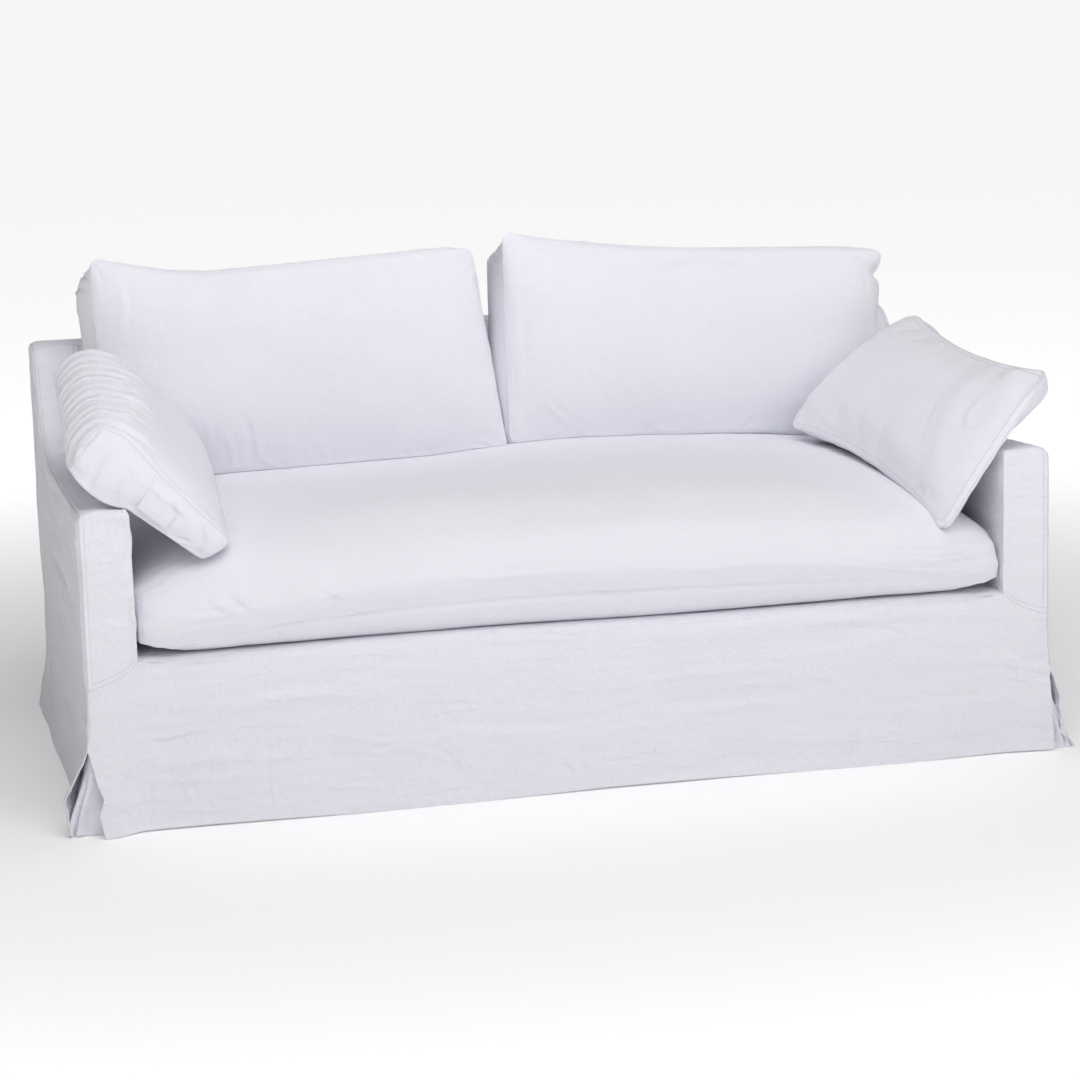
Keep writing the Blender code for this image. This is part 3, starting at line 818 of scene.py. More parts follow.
def vent(side, end, name):
    reach = 1.0 if end < 0 else 0.0
    path = np.array(VENT_PATH)

    def shape(row, height):
        weights = spline_weights(len(path), row.ravel() * (len(path) - 1.0) / VENT_RUN)
        spots = (weights @ path).reshape(row.shape + (4,))
        low = hem_height(8.0 * side + 30.0 * row) + 0.001
        z = low + (VENT_TALL - low) * height / VENT_TALL
        share = reach * ease(0.150, 0.0, z)
        x = spots[..., 0] + (spots[..., 2] - spots[..., 0]) * share
        y = spots[..., 1] + (spots[..., 3] - spots[..., 1]) * share
        return place(side * x, end * y, z)
    rows = stations(VENT_RUN, 0.0022, (False, False))
    heights = stations(VENT_TALL, 0.006, (False, False))
    return panel(name, rows, heights, shape, sewn="", flip=side * end < 0)


# ---------------------------------------------------------------- cushions


def box_index(counts):
    """Vertex numbers over a box's surface, and -1 inside it."""
    index = -np.ones([n + 1 for n in counts], int)
    shell = np.ones(index.shape, bool)
    shell[1:-1, 1:-1, 1:-1] = False
    index[shell] = np.arange(shell.sum())
    return index


SIDE_CUTS = {
    # side of a box: its place in the index, and whether its quads flip
    side: (tuple(end if number == axis else slice(None) for number in range(3)), flip)
    for side, axis, end, flip in (
        ("face", 2, -1, False),
        ("under", 2, 0, True),
        ("right", 0, -1, False),
        ("left", 0, 0, True),
        ("high", 1, -1, True),
        ("low", 1, 0, False),
    )
}


def box_quads(index):
    """Quads of a box's surface, side by side."""
    return np.concatenate([grid_quads(index[cut], flip) for cut, flip in SIDE_CUTS.values()])


def inside_out(points, quads):
    """Whether a closed mesh's faces look inwards."""
    a, b, c, d = points[quads.T]
    return (np.cross(a, b) * c).sum() + (np.cross(a, c) * d).sum() < 0.0


def vertex_normals(points, quads):
    """Unit normals of a closed mesh's vertices."""
    a, b, c, d = points[quads.T]
    normal = np.zeros_like(points)
    for k in range(4):
        np.add.at(normal, quads[:, k], np.cross(c - a, d - b))
    return normal / np.maximum(np.linalg.norm(normal, axis=1, keepdims=True), 1e-12)


def evened(values, quads, passes, held):
    """A closed mesh's values drawn towards their neighbours' mean, but for the
    vertices held."""
    for _ in range(passes):
        total = np.zeros_like(values)
        count = np.zeros((len(values), 1))
        for k in range(4):
            np.add.at(total, quads[:, k], values[quads[:, k - 1]] + values[quads[:, k - 3]])
            np.add.at(count, quads[:, k], 2.0)
        values = np.where(held[:, None], values, 0.5 * values + 0.5 * total / count)
    return values


FRAMES = 18             # how long the cushions are blown up for
BLOWN = {
    # settings of the cloth that is blown up
    "quality": 6,
    "mass": 0.25,
    "tension_stiffness": 18.0,
    "compression_stiffness": 18.0,
    "shear_stiffness": 4.0,
    "bending_stiffness": 0.25,
    "use_pressure": True,
    "uniform_pressure_force": 5.0,
    "vertex_group_mass": "pin",
}


def blown(name, points, quads, pinned, grow, cap, smooth):
    """Points of a closed cushion after its cloth has been blown up from
    inside, growing by a share; the swelling is evened out a number of times
    and levels off at cap."""
    mesh = bpy.data.meshes.new(name)
    mesh.from_pydata(points.tolist(), [], quads.tolist())
    body = bpy.data.objects.new(name, mesh)
    bpy.context.scene.collection.objects.link(body)
    group = body.vertex_groups.new(name="pin")
    group.add(np.flatnonzero(pinned).tolist(), 1.0, "REPLACE")
    cloth = body.modifiers.new("cloth", "CLOTH")
    for key, value in BLOWN.items():
        setattr(cloth.settings, key, value)
    cloth.settings.shrink_min = -grow
    cloth.settings.effector_weights.gravity = 0.0
    cloth.collision_settings.use_collision = False
    cloth.point_cache.frame_start = 1
    cloth.point_cache.frame_end = FRAMES
    for number in range(1, FRAMES + 1):
        bpy.context.scene.frame_set(number)
    shown = body.evaluated_get(bpy.context.evaluated_depsgraph_get())
    moved = np.zeros(points.size, np.float32)
    shown.data.vertices.foreach_get("co", moved)
    bpy.context.scene.frame_set(1)
    bpy.data.objects.remove(body)
    bpy.data.meshes.remove(mesh)
    step = evened(moved.reshape(-1, 3).astype(float) - points, quads, smooth, pinned)
    size = np.linalg.norm(step, axis=1, keepdims=True)
    return points + step * cap * np.tanh(size / cap) / np.maximum(size, 1e-9)


def kept_clear(points, beside, gap=0.0006, reach=0.03):
    """Places moved out of the pieces beside them."""
    for piece in beside:
        spots = [v.co for v in piece.data.vertices]
        tree = BVHTree.FromPolygons(spots, [p.vertices for p in piece.data.polygons])
        low, high = np.min(spots, axis=0) - reach, np.max(spots, axis=0) + reach
        for number in np.flatnonzero(((points > low) & (points < high)).all(axis=1)):
            spot = Vector(points[number])
            hit, normal, _, _ = tree.find_nearest(spot, reach)
            if hit is not None:
                depth = (spot - hit).dot(normal)
                if depth < gap:
                    points[number] = spot + normal * (gap - depth)
    return points


BARE_ROWS = 5           # coarse rows in which a bare side is rounded over
BARE_FROM = 0.4         # share of the thickness from which it is
BARE_PASSES = 8         # how often those rows are evened out


def blank(name, shape, size, step, rest, bare, swell):
    """A cushion's coarse mesh, blown up: its points, their numbers over the
    sides, and whether its quads must be turned."""
    counts = [max(3, round(length / step)) for length in size]
    index = box_index(counts)
    numbers = np.argwhere(index >= 0)
    share = numbers / np.array(counts)
    points = drift(shape(2.0 * share[:, 0] - 1.0, 2.0 * share[:, 1] - 1.0, share[:, 2]))
    quads = box_quads(index)
    turned = inside_out(points, quads)
    quads = quads[:, ::-1] if turned else quads
    at_end = (numbers == 0) | (numbers == np.array(counts))
    pinned = at_end[:, 2] & (at_end[:, 0] | at_end[:, 1])
    for side in rest:
        pinned[index[SIDE_CUTS[side][0]].ravel()] = True
    points = blown(name, points, quads, pinned, *swell)
    if bare:
        inwards = numbers[:, 1] if bare == "low" else counts[1] - numbers[:, 1]
        shoulder = (inwards < BARE_ROWS) & (numbers[:, 2] > counts[2] * BARE_FROM)
        points = evened(points, quads, BARE_PASSES, ~shoulder)
    return points, index, turned


def from_seams(a, b, size, side, bare):
    """Distance from the seams round a cushion's side, the run along them, and
    the share of free bumps; face and underside have seams on all four edges."""
    end_a = np.minimum(a, size[0] - a)
    end_b = np.minimum(b, size[1] - b)
    distance, run = end_b, a
    if side in ("face", "under"):
        distance = np.minimum(end_a, end_b)
        run = np.where(end_a < end_b, b, a)
    free = ease(0.0, FREE_FROM - 0.002, distance)
    if bare and side == "face":
        end_b = b if bare == "high" else size[1] - b
        distance = np.minimum(end_a, end_b)
        run = np.where(end_a < end_b, b, a)
    if side == bare:
        distance = b
    return distance, run, free


def boxing_relief(distance, a, b, seed):
    """Height of the seams that edge a cushion's boxing, and their puckers."""
    ridge = np.exp(-((distance - 0.003) / 0.002) ** 2)
    groove = np.exp(-((distance - 0.0075) / 0.003) ** 2)
    pucker = noise(a / 0.024, b / 0.05, seed)
    return (0.0007 * ridge - 0.0006 * groove
            + 0.0011 * pucker * np.exp(-distance / 0.025) * ease(0.0, 0.004, distance))


RUMPLES = (
    # height, length, width, seed
    (0.0009, 0.07, 0.05, 0),
    (0.0005, 0.03, 0.024, 20),
    (0.0020, 0.19, 0.15, 40),
)


def cushion(name, shape, size, coarse, fine, rest, swell, seed, creases, deep, strips,
            beside=(), rumple=1.0, bare=""):
    """A sewn box cushion.

    shape(u, v, w) gives places for u and v from -1 to 1 and w from 0 at the
    underside to 1 at the face; size is its length, width and thickness along
    the cloth, and coarse and fine are the steps of the mesh that is blown up
    and of the one that is seen.  rest names the sides that hold still, and
    bare one that the cloth rolls over to from the face without a visible
    seam.  swell is how the cloth is blown up: its growth, where the swelling
    levels off and how often it is evened out.  strips are the strengths of
    the felled seams on the face and on the underside, rumple of the free
    bumps and deep of the creases.  beside lists the pieces that it must stay
    clear of."""
    points, index, turned = blank(name, shape, size, coarse, rest, bare, swell)
    lines = [stations(length, step) for length, step in zip(size, fine)]
    weights = [spline_weights(count, line / length * (count - 1))
               for line, length, count in zip(lines, size, index.shape)]
    dense = box_index([len(line) - 1 for line in lines])
    total = dense.max() + 1
    spots = np.zeros((total, 3))
    seam = np.full(total, 1.0)
    along = np.zeros(total)
    relief = np.zeros(total)
    uv = []
    for number, (side, (cut, flip)) in enumerate(SIDE_CUTS.items()):
        axes = [axis for axis in range(3) if isinstance(cut[axis], slice)]
        first, second = (weights[axis] for axis in axes)
        target = dense[cut]
        spots[target] = np.einsum("ia,abk,jb->ijk", first, points[index[cut]], second)
        a, b = np.meshgrid(*(lines[axis] for axis in axes), indexing="ij")
        distance, run, free = from_seams(a, b, [size[axis] for axis in axes], side, bare)
        bumps = rumple * free * sum(
            height * noise(a / length, b / width, more + seed + number)
            for height, length, width, more in RUMPLES)
        folds = crease_relief(a, b, creases.get(side, ()), deep)
        bumps = bumps + ease(0.0, 0.006, distance) * folds
        if side in ("face", "under"):
            strip = strips[0] if side == "face" else strips[1]
            bumps = bumps + strip * fell_relief(distance, run, seed + number)
            seam[target] = np.where(strip > 0.4, distance, 1.0)
            along[target] = run
        else:
            bumps = bumps + boxing_relief(distance, a, b, seed + 60 + number)
        relief[target] = bumps
        flat = np.stack([a, b], -1).reshape(-1, 2)
        uv.append(flat[grid_quads(np.arange(a.size).reshape(a.shape), flip)])
    quads = box_quads(dense)
    uv = np.concatenate(uv)
    if turned:
        quads, uv = quads[:, ::-1], uv[:, ::-1]
    normal = vertex_normals(spots, quads)
    spots = kept_clear(spots + normal * relief[:, None], beside)
    return new_piece(name, spots, quads, uv, seam, along, CUSHION_LOOK)


def full(t, power=4.0, turn=0.6):
    """Share of a cushion's crown from its middle to its edge at 1, turning
    down steeply at the edge."""
    return np.clip(1.0 - np.abs(t) ** power, 0.0, None) ** turn


def at_rim(share):
    """Whether places lie on the rim of a cushion's outline."""
    return np.abs(share) > 1.0 - 1e-9


def bellied(w):
    """Share of the bulge over a cushion's thickness, fullest in the middle."""
    return np.clip(4.5 * w * (1.0 - w), 0.0, 1.0)


def by_layer(w, face, under):
    """One value on the face, one on the underside and none between."""
    return np.where(w > 0.999, face, np.where(w < 0.001, under, 0.0))


def round_shares(u, v, size, radius):
    """Shares across a face, with the corners of its outline rounded."""
    half_u, half_v = size[0] / 2.0, size[1] / 2.0
    back_u, back_v = rounded(half_u * (1.0 - np.abs(u)), half_v * (1.0 - np.abs(v)), radius)
    return u - np.sign(u) * back_u / half_u, v - np.sign(v) * back_v / half_v


def plan_corners(x, y, half_x, half_y, radius):
    """Round the corners of a rectangle in plan."""
    back_x, back_y = rounded(half_x - np.abs(x), half_y - np.abs(y), radius)
    return x - np.sign(x) * back_x, y - np.sign(y) * back_y


SEAT_CLOTH = (1.72, 0.90, 0.115)    # the seat cushion's sides along the cloth
SEAT_HALF = 0.8602      # half its width
SEAT_FRONT = -0.516
SEAT_BACK = 0.350
SEAT_REST = 0.3342      # height of its flat underside
SEAT_SEAM = 0.500       # height of its upper seam in the middle
SEAT_DROOP = 0.052      # how far that seam droops at the ends
SEAT_LOW_SEAM = 0.412   # height of its lower seam in the middle
SEAT_LOW_DROOP = 0.046  # how far that one droops
SEAT_CORNER = 0.030     # radius of its corners in plan
SEAT_CROWN = 0.077      # how far its middle stands over its seams
SEAT_SUNK = 0.016       # how much less so at the back on the left
SEAT_BULGE = 0.013      # how far its front boxing bulges
SEAT_SET_BACK = 0.020   # how far its front seam is set back from the boxing


def seat_upper(x, y):
    """Height of the seat cushion's upper seam, drooping at both ends."""
    droop = SEAT_DROOP * (np.abs(x) / 0.86) ** 2.2 + 0.010 * ease(0.2, 0.7, x)
    return SEAT_SEAM - droop * (0.5 + 0.5 * ease(0.1, -0.4, y))


def seat_lower(x):
    """Height of the seat cushion's lower seam."""
    return SEAT_LOW_SEAM - SEAT_LOW_DROOP * (x / 0.82) ** 2


def seat_shape(u, v, w):
    middle = (SEAT_FRONT + SEAT_BACK) / 2.0
    half = (SEAT_BACK - SEAT_FRONT) / 2.0
    x = SEAT_HALF * u * (1.0 - 0.012 * np.abs(v) ** 14)
    y = half * v * (1.0 - 0.035 * np.abs(u) ** 18)
    x, y = plan_corners(x, y, SEAT_HALF, half, SEAT_CORNER)
    y = middle + y
    at_side = at_rim(u) | at_rim(v)
    belly = 4.0 * w * (1.0 - w)
    crown = np.where(v < 0.0, full(v, 3.2, 0.8), full(v, 7.0, 0.8)) * full(u, 9.0, 0.7)
    upper = seat_upper(x, y)
    lower = seat_lower(x)
    rise = np.clip(np.maximum(np.abs(u), np.abs(v)) - 0.86, 0.0, None) / 0.14
    sunk = SEAT_SUNK * ease(0.15, -0.25, x) * ease(-0.4, 0.4, v)
    top_z = upper + (SEAT_CROWN - sunk) * crown
    low_z = SEAT_REST + (lower - SEAT_REST) * rise ** 1.6
    z = np.where(at_side, lower + (upper - lower) * w, np.where(w > 0.5, top_z, low_z))
    y = y + (at_rim(v) & (v < 0.0)) * (0.006 * (1.0 - w) ** 2 - SEAT_BULGE * belly)
    y = y + SEAT_SET_BACK * (w > 0.001) * w ** 2 * ease(-0.90, -1.0, v)
    x = x + 0.002 * u * belly * at_side
    return place(x, y, z)


# Front corners of the back cushions, how their top seam runs over the straight
# line between its corners, the bulge of their sides at the bottom and the top,
# and how far the upper right corner stands out as an ear.
BACK_LEFT = {
    "top_left": (-0.849, 0.2572, 1.0113),
    "top_right": (-0.040, 0.2572, 0.9853),
    "low_left": (-0.842, 0.1722, 0.5563),
    "low_right": (0.006, 0.1722, 0.5693),
    "top_line": ((-1.0, 0.004), (-0.83, -0.009), (-0.62, -0.022), (-0.42, -0.026),
                 (-0.16, -0.019), (0.3, -0.006), (0.86, 0.011), (1.0, 0.006)),
    "bulge_left": (0.0, 0.019),
    "bulge_right": (0.004, 0.002),
    "ear": 0.0,
}
BACK_RIGHT = {
    "top_left": (0.026, 0.2555, 1.0231),
    "top_right": (0.868, 0.2555, 0.9511),
    "low_left": (0.012, 0.1735, 0.5841),
    "low_right": (0.846, 0.1735, 0.5741),
    "top_line": ((-1.0, 0.002), (-0.7, -0.008), (-0.38, -0.013), (-0.05, -0.013),
                 (0.39, -0.004), (0.8, 0.006), (1.0, 0.004)),
    "bulge_left": (0.018, 0.004),
    "bulge_right": (0.0, 0.026),
    "ear": 0.014,
}
BACK_CLOTH = (0.82, 0.43, 0.165)    # the back cushions' sides along the cloth
BACK_CORNER = 0.018     # radius of the back cushions' corners
BACK_PINCH = 0.030      # how far a top corner's boxing is drawn down behind
BACK_TILT = math.radians(12.0)      # how far they lean back
BACK_CROWN = 0.042      # how far their face stands out of its seams
BACK_BEHIND = 0.022     # the same behind
BACK_DROP = 0.024       # how far their lower boxing bulges


def between(low, high, share):
    """Places between two others; share is an array."""
    return low + (np.array(high) - low) * share[..., None]


def back_shape(form):
    def shape(end_u, end_v, w):
        u, v = round_shares(end_u, end_v, BACK_CLOTH, BACK_CORNER)
        low = between(form["low_left"], form["low_right"], (u + 1.0) / 2.0)
        top = between(form["top_left"], form["top_right"], (u + 1.0) / 2.0)
        spot = low + (top - low) * ((v + 1.0) / 2.0)[..., None]
        x, y, z = spot[..., 0], spot[..., 1], spot[..., 2]
        upper = ease(-0.6, 0.7, v)
        ear = np.exp(-((v - 0.94) / 0.07) ** 2) - np.exp(-((v - 0.76) / 0.08) ** 2)
        x = x + form["ear"] * ease(0.85, 1.0, u) * ear
        z = z + ease(0.3, 1.0, v) * read(form["top_line"], u)
        pinch = ease(0.80, 1.0, np.abs(u)) * ease(0.60, 1.0, v)
        z = z - BACK_PINCH * (1.0 - w) ** 0.5 * pinch
        crown = full(end_u, 3.4) * np.where(end_v < 0.0, full(end_v, 2.2, 1.0), full(end_v, 3.4))
        lift = by_layer(w, BACK_CROWN, -BACK_BEHIND) * crown
        belly = bellied(w)
        sides = [low + (high - low) * upper for low, high in
                 (form["bulge_left"], form["bulge_right"])]
        side = np.where(u < 0.0, *sides) * (1.0 - 0.5 * ease(0.75, 1.0, v))
        x = x + u * side * belly * at_rim(end_u)
        drop = np.where(end_v < 0.0, BACK_DROP * belly ** 0.4, -0.004 * belly)
        z = z + v * drop * at_rim(end_v)
        deep = BACK_CLOTH[2] * (1.0 - w) - lift
        return place(x, y + deep * math.cos(BACK_TILT), z - deep * math.sin(BACK_TILT))
    return shape


# Corners of the arm pillows, on the face and on the underside; how far the
# face, its shoulder over the arm and the underside swell, the underside sags
# outside the arm and the sides bulge; and how far the two long edges are drawn
# in and the far end is pushed out.
PILLOW_RIGHT = {
    "near_low": ((0.733, -0.505, 0.462), (0.758, -0.455, 0.4600)),
    "near_high": ((0.966, -0.490, 0.770), (0.984, -0.440, 0.716)),
    "far_low": ((0.606, 0.085, 0.594), (0.686, 0.105, 0.5600)),
    "far_high": ((0.893, 0.090, 0.830), (0.955, 0.110, 0.761)),
    "crown": 0.043,
    "shoulder": 0.0,
    "under": 0.010,
    "sag": 0.0,
    "bulge": 0.003,
    "draw_low": 0.036,
    "draw_high": 0.032,
    "push_far": 0.030,
}
PILLOW_LEFT = {
    "near_low": ((-0.672, -0.475, 0.538), (-0.722, -0.472, 0.5040)),
    "near_high": ((-0.906, -0.478, 0.780), (-0.970, -0.476, 0.6960)),
    "far_low": ((-0.655, 0.080, 0.624), (-0.700, 0.100, 0.5985)),
    "far_high": ((-0.884, 0.098, 0.850), (-0.944, 0.110, 0.780)),
    "crown": 0.034,
    "shoulder": 0.010,
    "under": 0.004,
    "sag": 0.018,
    "bulge": 0.008,
    "draw_low": -0.003,
    "draw_high": 0.006,
    "push_far": 0.034,
}
PILLOW_CLOTH = (0.57, 0.36, 0.085)  # their sides along the cloth
PILLOW_BEND = 0.2       # where they bend over the arm, from -1 to 1
PILLOW_CORNER = 0.030   # radius of the arm pillows' corners
ARM_ROOM = 0.0004       # room between an arm and its pillow


def pillow_place(form, end_u, end_v, w):
    """Places on a pillow before it bends over the arm."""
    u, v = round_shares(end_u, end_v, PILLOW_CLOTH, PILLOW_CORNER)
    ends = []
    for layer in (1, 0):
        low = between(form["near_low"][layer], form["far_low"][layer], (u + 1.0) / 2.0)
        high = between(form["near_high"][layer], form["far_high"][layer], (u + 1.0) / 2.0)
        ends.append(low + (high - low) * ((v + 1.0) / 2.0)[..., None])
    spot = ends[0] + (ends[1] - ends[0]) * w[..., None]
    x, y, z = spot[..., 0], spot[..., 1], spot[..., 2]
    out = np.sign(x)
    bow = 1.0 - u * u
    draw = form["draw_low"] * np.clip(-v, 0.0, None) - form["draw_high"] * np.clip(v, 0.0, None)
    push = form["push_far"] * np.clip(u, 0.0, None) ** 3 * (1.0 - v * v)
    crown = full(end_u, 2.8, 0.65) * full(end_v, 2.8, 0.65)
    lift = by_layer(w, form["crown"], -form["under"]) * crown
    shoulder = ease(-0.1, 0.70, v) * ease(1.0, 0.70, v)
    lift = lift + form["shoulder"] * shoulder * w * (1.0 - 0.5 * np.clip(u, 0.0, 1.0))
    bulge = form["bulge"] * bellied(w)
    x = x + out * 0.7 * (draw * bow - lift)
    z = z + 0.7 * (draw * bow + lift) + 0.5 * push
    y = y + push + u * bulge * at_rim(end_u)
    z = z + v * bulge * (at_rim(end_v) & (end_v > 0.0))
    x = x + out * v * bulge * at_rim(end_v)
    return x, y, z


def pillow_shape(form):
    def shape(u, v, w):
        x, y, z = pillow_place(form, u, v, w)
        ones = np.ones_like(u)
        low = pillow_place(form, u, -ones, 0.0 * ones)
        high = pillow_place(form, u, ones, 0.0 * ones)
        bend = pillow_place(form, u, PILLOW_BEND * ones, 0.0 * ones)
        edge = np.sign(x) * (ARM_IN - 0.5 * ARM_ROOM)
        reach = (edge - low[0]) / (high[0] - low[0])
        level = low[2] + (high[2] - low[2]) * reach
        level = np.maximum(level, read(ARM_FULL, bend[1]) + ARM_ROOM)
        share = np.where(v < PILLOW_BEND, (v + 1.0) / (PILLOW_BEND + 1.0),
                         (1.0 - v) / (1.0 - PILLOW_BEND))
        share = share * (1.0 - w)
        over_arm = np.clip((v - PILLOW_BEND) / (1.0 - PILLOW_BEND), 0.0, 1.0)
        z = z - form["sag"] * np.sin(math.pi * over_arm) * (1.0 - w)
        return place(x + share * (edge - bend[0]), y, z + share * (level - bend[2]))
    return shape


SEAT_CREASES = {
    # side of the cushion: rows of a path along and across it, width, height
    "low": (
        ((1422, 90, 1505, 82, 1601, 85, 1703, 96), 5, -2.8),
        ((1545, 37, 1630, 62, 1708, 85), 5, 2.8),
        ((1334, 43, 1440, 28, 1568, 21, 1681, 23), 5, 2.6),
        ((1590, 12, 1647, 10, 1697, 42), 5, 2.6),
        ((1460, 62, 1566, 53, 1686, 69), 5, 3),
        ((1303, 54, 1321, 10), 4, 1.8),
        ((31, 7, 107, 23, 183, 20), 5, 2.4),
        ((120, 86, 147, 54, 184, 26), 5, -2.6),
        ((159, 96, 186, 61, 213, 28), 5, -2.6),
        ((341, 64, 389, 21), 4, -2),
        ((344, 29, 388, 51), 4, -2),
        ((381, 60, 536, 55, 729, 43, 884, 45), 9, 1.6),
        ((964, 50, 1085, 32, 1209, 45, 1376, 34), 8, 1.6),
        ((70, 60, 140, 45, 240, 50), 7, 2.2),
    ),
    "under": (
        ((30, 9, 600, 9, 1200, 9, 1690, 9), 3.5, -4.2),
        ((205, 12, 282, 6, 340, 4), 4, -1.8),
        ((363, 27, 400, 12, 439, 6), 4, -2),
        ((869, 6, 929, 14), 4, -1.6),
        ((820, 8, 871, 22), 4, -1.8),
        ((787, 10, 803, 26), 4, -1.6),
        ((1399, 8, 1425, 24), 4, -1.8),
    ),
    "face": (
        ((10, 105, 28, 97, 67, 105), 5, -2.8),
        ((5, 60, 37, 52, 75, 71), 5, -2.8),
        ((10, 20, 45, 16, 85, 40), 5, -2.8),
    ),
}
BACK_CREASES = {
    # the same for each back cushion
    "left": {
        "face": (
            ((269, 121, 286, 78, 287, 10), 5, -3),
            ((301, 66, 307, 24, 332, 8), 5, 3),
            ((198, 114, 204, 87, 204, 61), 4.5, 2),
            ((391, 34, 393, 5), 4, -1.8),
            ((590, 18, 615, 4), 4, -1.8),
            ((760, 30, 800, 6), 4.5, 2.2),
            ((725, 18, 783, 5), 4, 1.8),
            ((236, 81, 247, 38, 246, 10), 5, 2.4),
            ((6, 416, 18, 397, 20, 363), 4, -2.4),
            ((47, 403, 59, 346, 46, 280), 7, 2),
            ((770, 398, 800, 420), 4, 2.4),
            ((785, 380, 812, 402), 4, 2.4),
            ((797, 360, 815, 380), 4, 2.4),
            ((420, 60, 440, 20), 6, 1.4),
        ),
        "left": (
            ((424, 90, 395, 150), 4.5, -3.4),
            ((395, 80, 364, 150), 4.5, -3.4),
            ((405, 30, 375, 100), 4.5, -3),
            ((360, 60, 300, 130), 6, 2.6),
        ),
    },
    "right": {
        "face": (
            ((28, 417, 66, 400, 106, 378), 4.5, -2),
            ((67, 93, 109, 49, 173, 8), 4.5, 2.6),
            ((74, 10, 112, 20), 4, 1.8),
            ((774, 382, 789, 357, 794, 322), 5, -3),
            ((757, 406, 783, 393, 808, 390), 5, -3),
            ((26, 383, 24, 223, 28, 74), 7, 1.6),
            ((288, 363, 423, 393, 509, 373), 14, 1.8),
            ((46, 73, 42, 32), 5, 2),
            ((300, 30, 340, 6), 6, 1.6),
            ((520, 34, 500, 6), 6, 1.6),
        ),
        "left": (
            ((424, 80, 400, 150), 5, -2.6),
            ((390, 90, 370, 150), 5, -2.4),
        ),
    },
}
# Places of the gathers along the left pillow's upper seam.
GATHERS = [40.0 + 16.5 * number + 4.0 * math.sin(5.0 * number) for number in range(31)]


def gather_size(at):
    """Width and height of a gather; every third is larger."""
    return (6.0, 7.8) if at % 3 == 0 else (4.2, 4.6)


PILLOW_CREASES = {
    # the same for each arm pillow
    "left": {
        "high": tuple(
            ((start - 10, -30, start, 45, start, 120), *gather_size(at))
            for at, start in enumerate(GATHERS)
        ),
        "face": tuple(
            ((start + 4 * (at % 3), 235 + 20 * (at % 4), start - 10, 315, start, 360,
              start + 2, 400), *gather_size(at))
            for at, start in enumerate(GATHERS)
        ) + (
            ((40, 356, 75, 350, 92, 335, 77, 322), 5, -2.6),
        ),
        "left": (
            ((90, 3, 75, 14, 58, 20), 4, -5.4),
            ((249, 77, 256, 41, 250, 10), 6, 5),
            ((150, 78, 135, 66, 100, 58), 5, 4.3),
            ((311, 70, 309, 33, 307, 6), 6, 5.4),
            ((346, 78, 352, 40, 354, 10), 5, 5.4),
            ((207, 82, 195, 62), 5, -4.3),
            ((73, 78, 47, 57, 28, 24), 5, 4.3),
            ((48, 8, 20, 12), 4, -4.3),
        ),
    },
    "right": {
        "face": (
            ((150, 340, 150, 280, 138, 192, 95, 86, 82, 14), 30, 3.4),
            ((110, 180, 73, 189, 48, 204), 4.5, -3),
            ((45, 145, 21, 169, 6, 180), 4.5, -2.6),
            ((30, 220, 8, 230), 4, -2.4),
            ((267, 350, 182, 323, 119, 299), 4.5, 2.2),
            ((242, 356, 151, 334, 95, 309), 4.5, 2.2),
            ((160, 350, 121, 337, 68, 313), 4.5, 2.2),
            ((130, 4, 114, 22, 100, 30), 4, -3.4),
            ((104, 5, 92, 20, 80, 26), 4, -3.4),
            ((178, 218, 163, 166, 144, 108), 7, 2),
            ((85, 262, 89, 218, 69, 176), 7, 2.2),
            ((488, 314, 403, 293, 331, 285), 9, 1.6),
            ((530, 60, 458, 35, 381, 26), 7, 1.6),
        ),
    },
}


def seat_cushion():
    return cushion("seat_cushion", seat_shape, SEAT_CLOTH, coarse=0.015,
                   fine=(0.0070, 0.0095, 0.0042), rest=("under", "high"),
                   swell=(0.014, 0.010, 40), seed=3, creases=SEAT_CREASES, deep=1.6,
                   strips=(0.2, 0.0), rumple=0.8, bare="low")


def back_cushion(form, hand, seed, beside):
    return cushion("back_cushion_" + hand, back_shape(form), BACK_CLOTH, coarse=0.012,
                   fine=(0.0058, 0.0058, 0.0085), rest=("under", "low", "high"),
                   swell=(0.016, 0.010, 10), seed=seed, creases=BACK_CREASES[hand], deep=1.6,
                   strips=(0.3, 0.2), beside=beside)


def arm_pillow(form, hand, seed, beside):
    return cushion("arm_pillow_" + hand, pillow_shape(form), PILLOW_CLOTH, coarse=0.010,
                   fine=(0.0040, 0.0048, 0.0045), rest=("under",), swell=(0.030, 0.008, 3),
                   seed=seed, creases=PILLOW_CREASES[hand], deep=1.0, strips=(0.6, 0.5),
                   beside=beside, rumple=1.4, bare="high" if hand == "left" else "")


PLACKET_LONG = 0.085
PLACKET_WIDE = 0.042
PLACKET_ALONG = (-0.31, 0.13)       # its ends along the pillow's near side
PLACKET_UP = (0.15, 0.63)           # its edges over the pillow's thickness
PLACKET_PROUD = 0.0050  # how far it stands before the pillow's flat side


def placket(form):
    """The flap over the zip on the left arm pillow's front edge."""
    shape = pillow_shape(form)

    def patch(run, rise):
        v = np.interp(run, (0.0, PLACKET_LONG), PLACKET_ALONG)
        w = np.interp(rise, (0.0, PLACKET_WIDE), PLACKET_UP)
        spot = shape(-np.ones_like(v), v, w)
        spot[..., 1] -= PLACKET_PROUD
        return spot
    u = stations(PLACKET_LONG, 0.004, (False, False))
    v = stations(PLACKET_WIDE, 0.004, (False, False))
    return panel("pillow_placket", u, v, patch, sewn="", flip=True, look=CUSHION_LOOK)


# ---------------------------------------------------------------- assembly


def sewn_sheet(piece, node):
    """Parent a cover panel to the root and hide the node that it stands for."""
    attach(piece, "root")
    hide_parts(node)


def stuffed(piece, node):
    """Parent a cushion to the root and hide the node that it stands for."""
    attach(piece, "root")
    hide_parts(node)


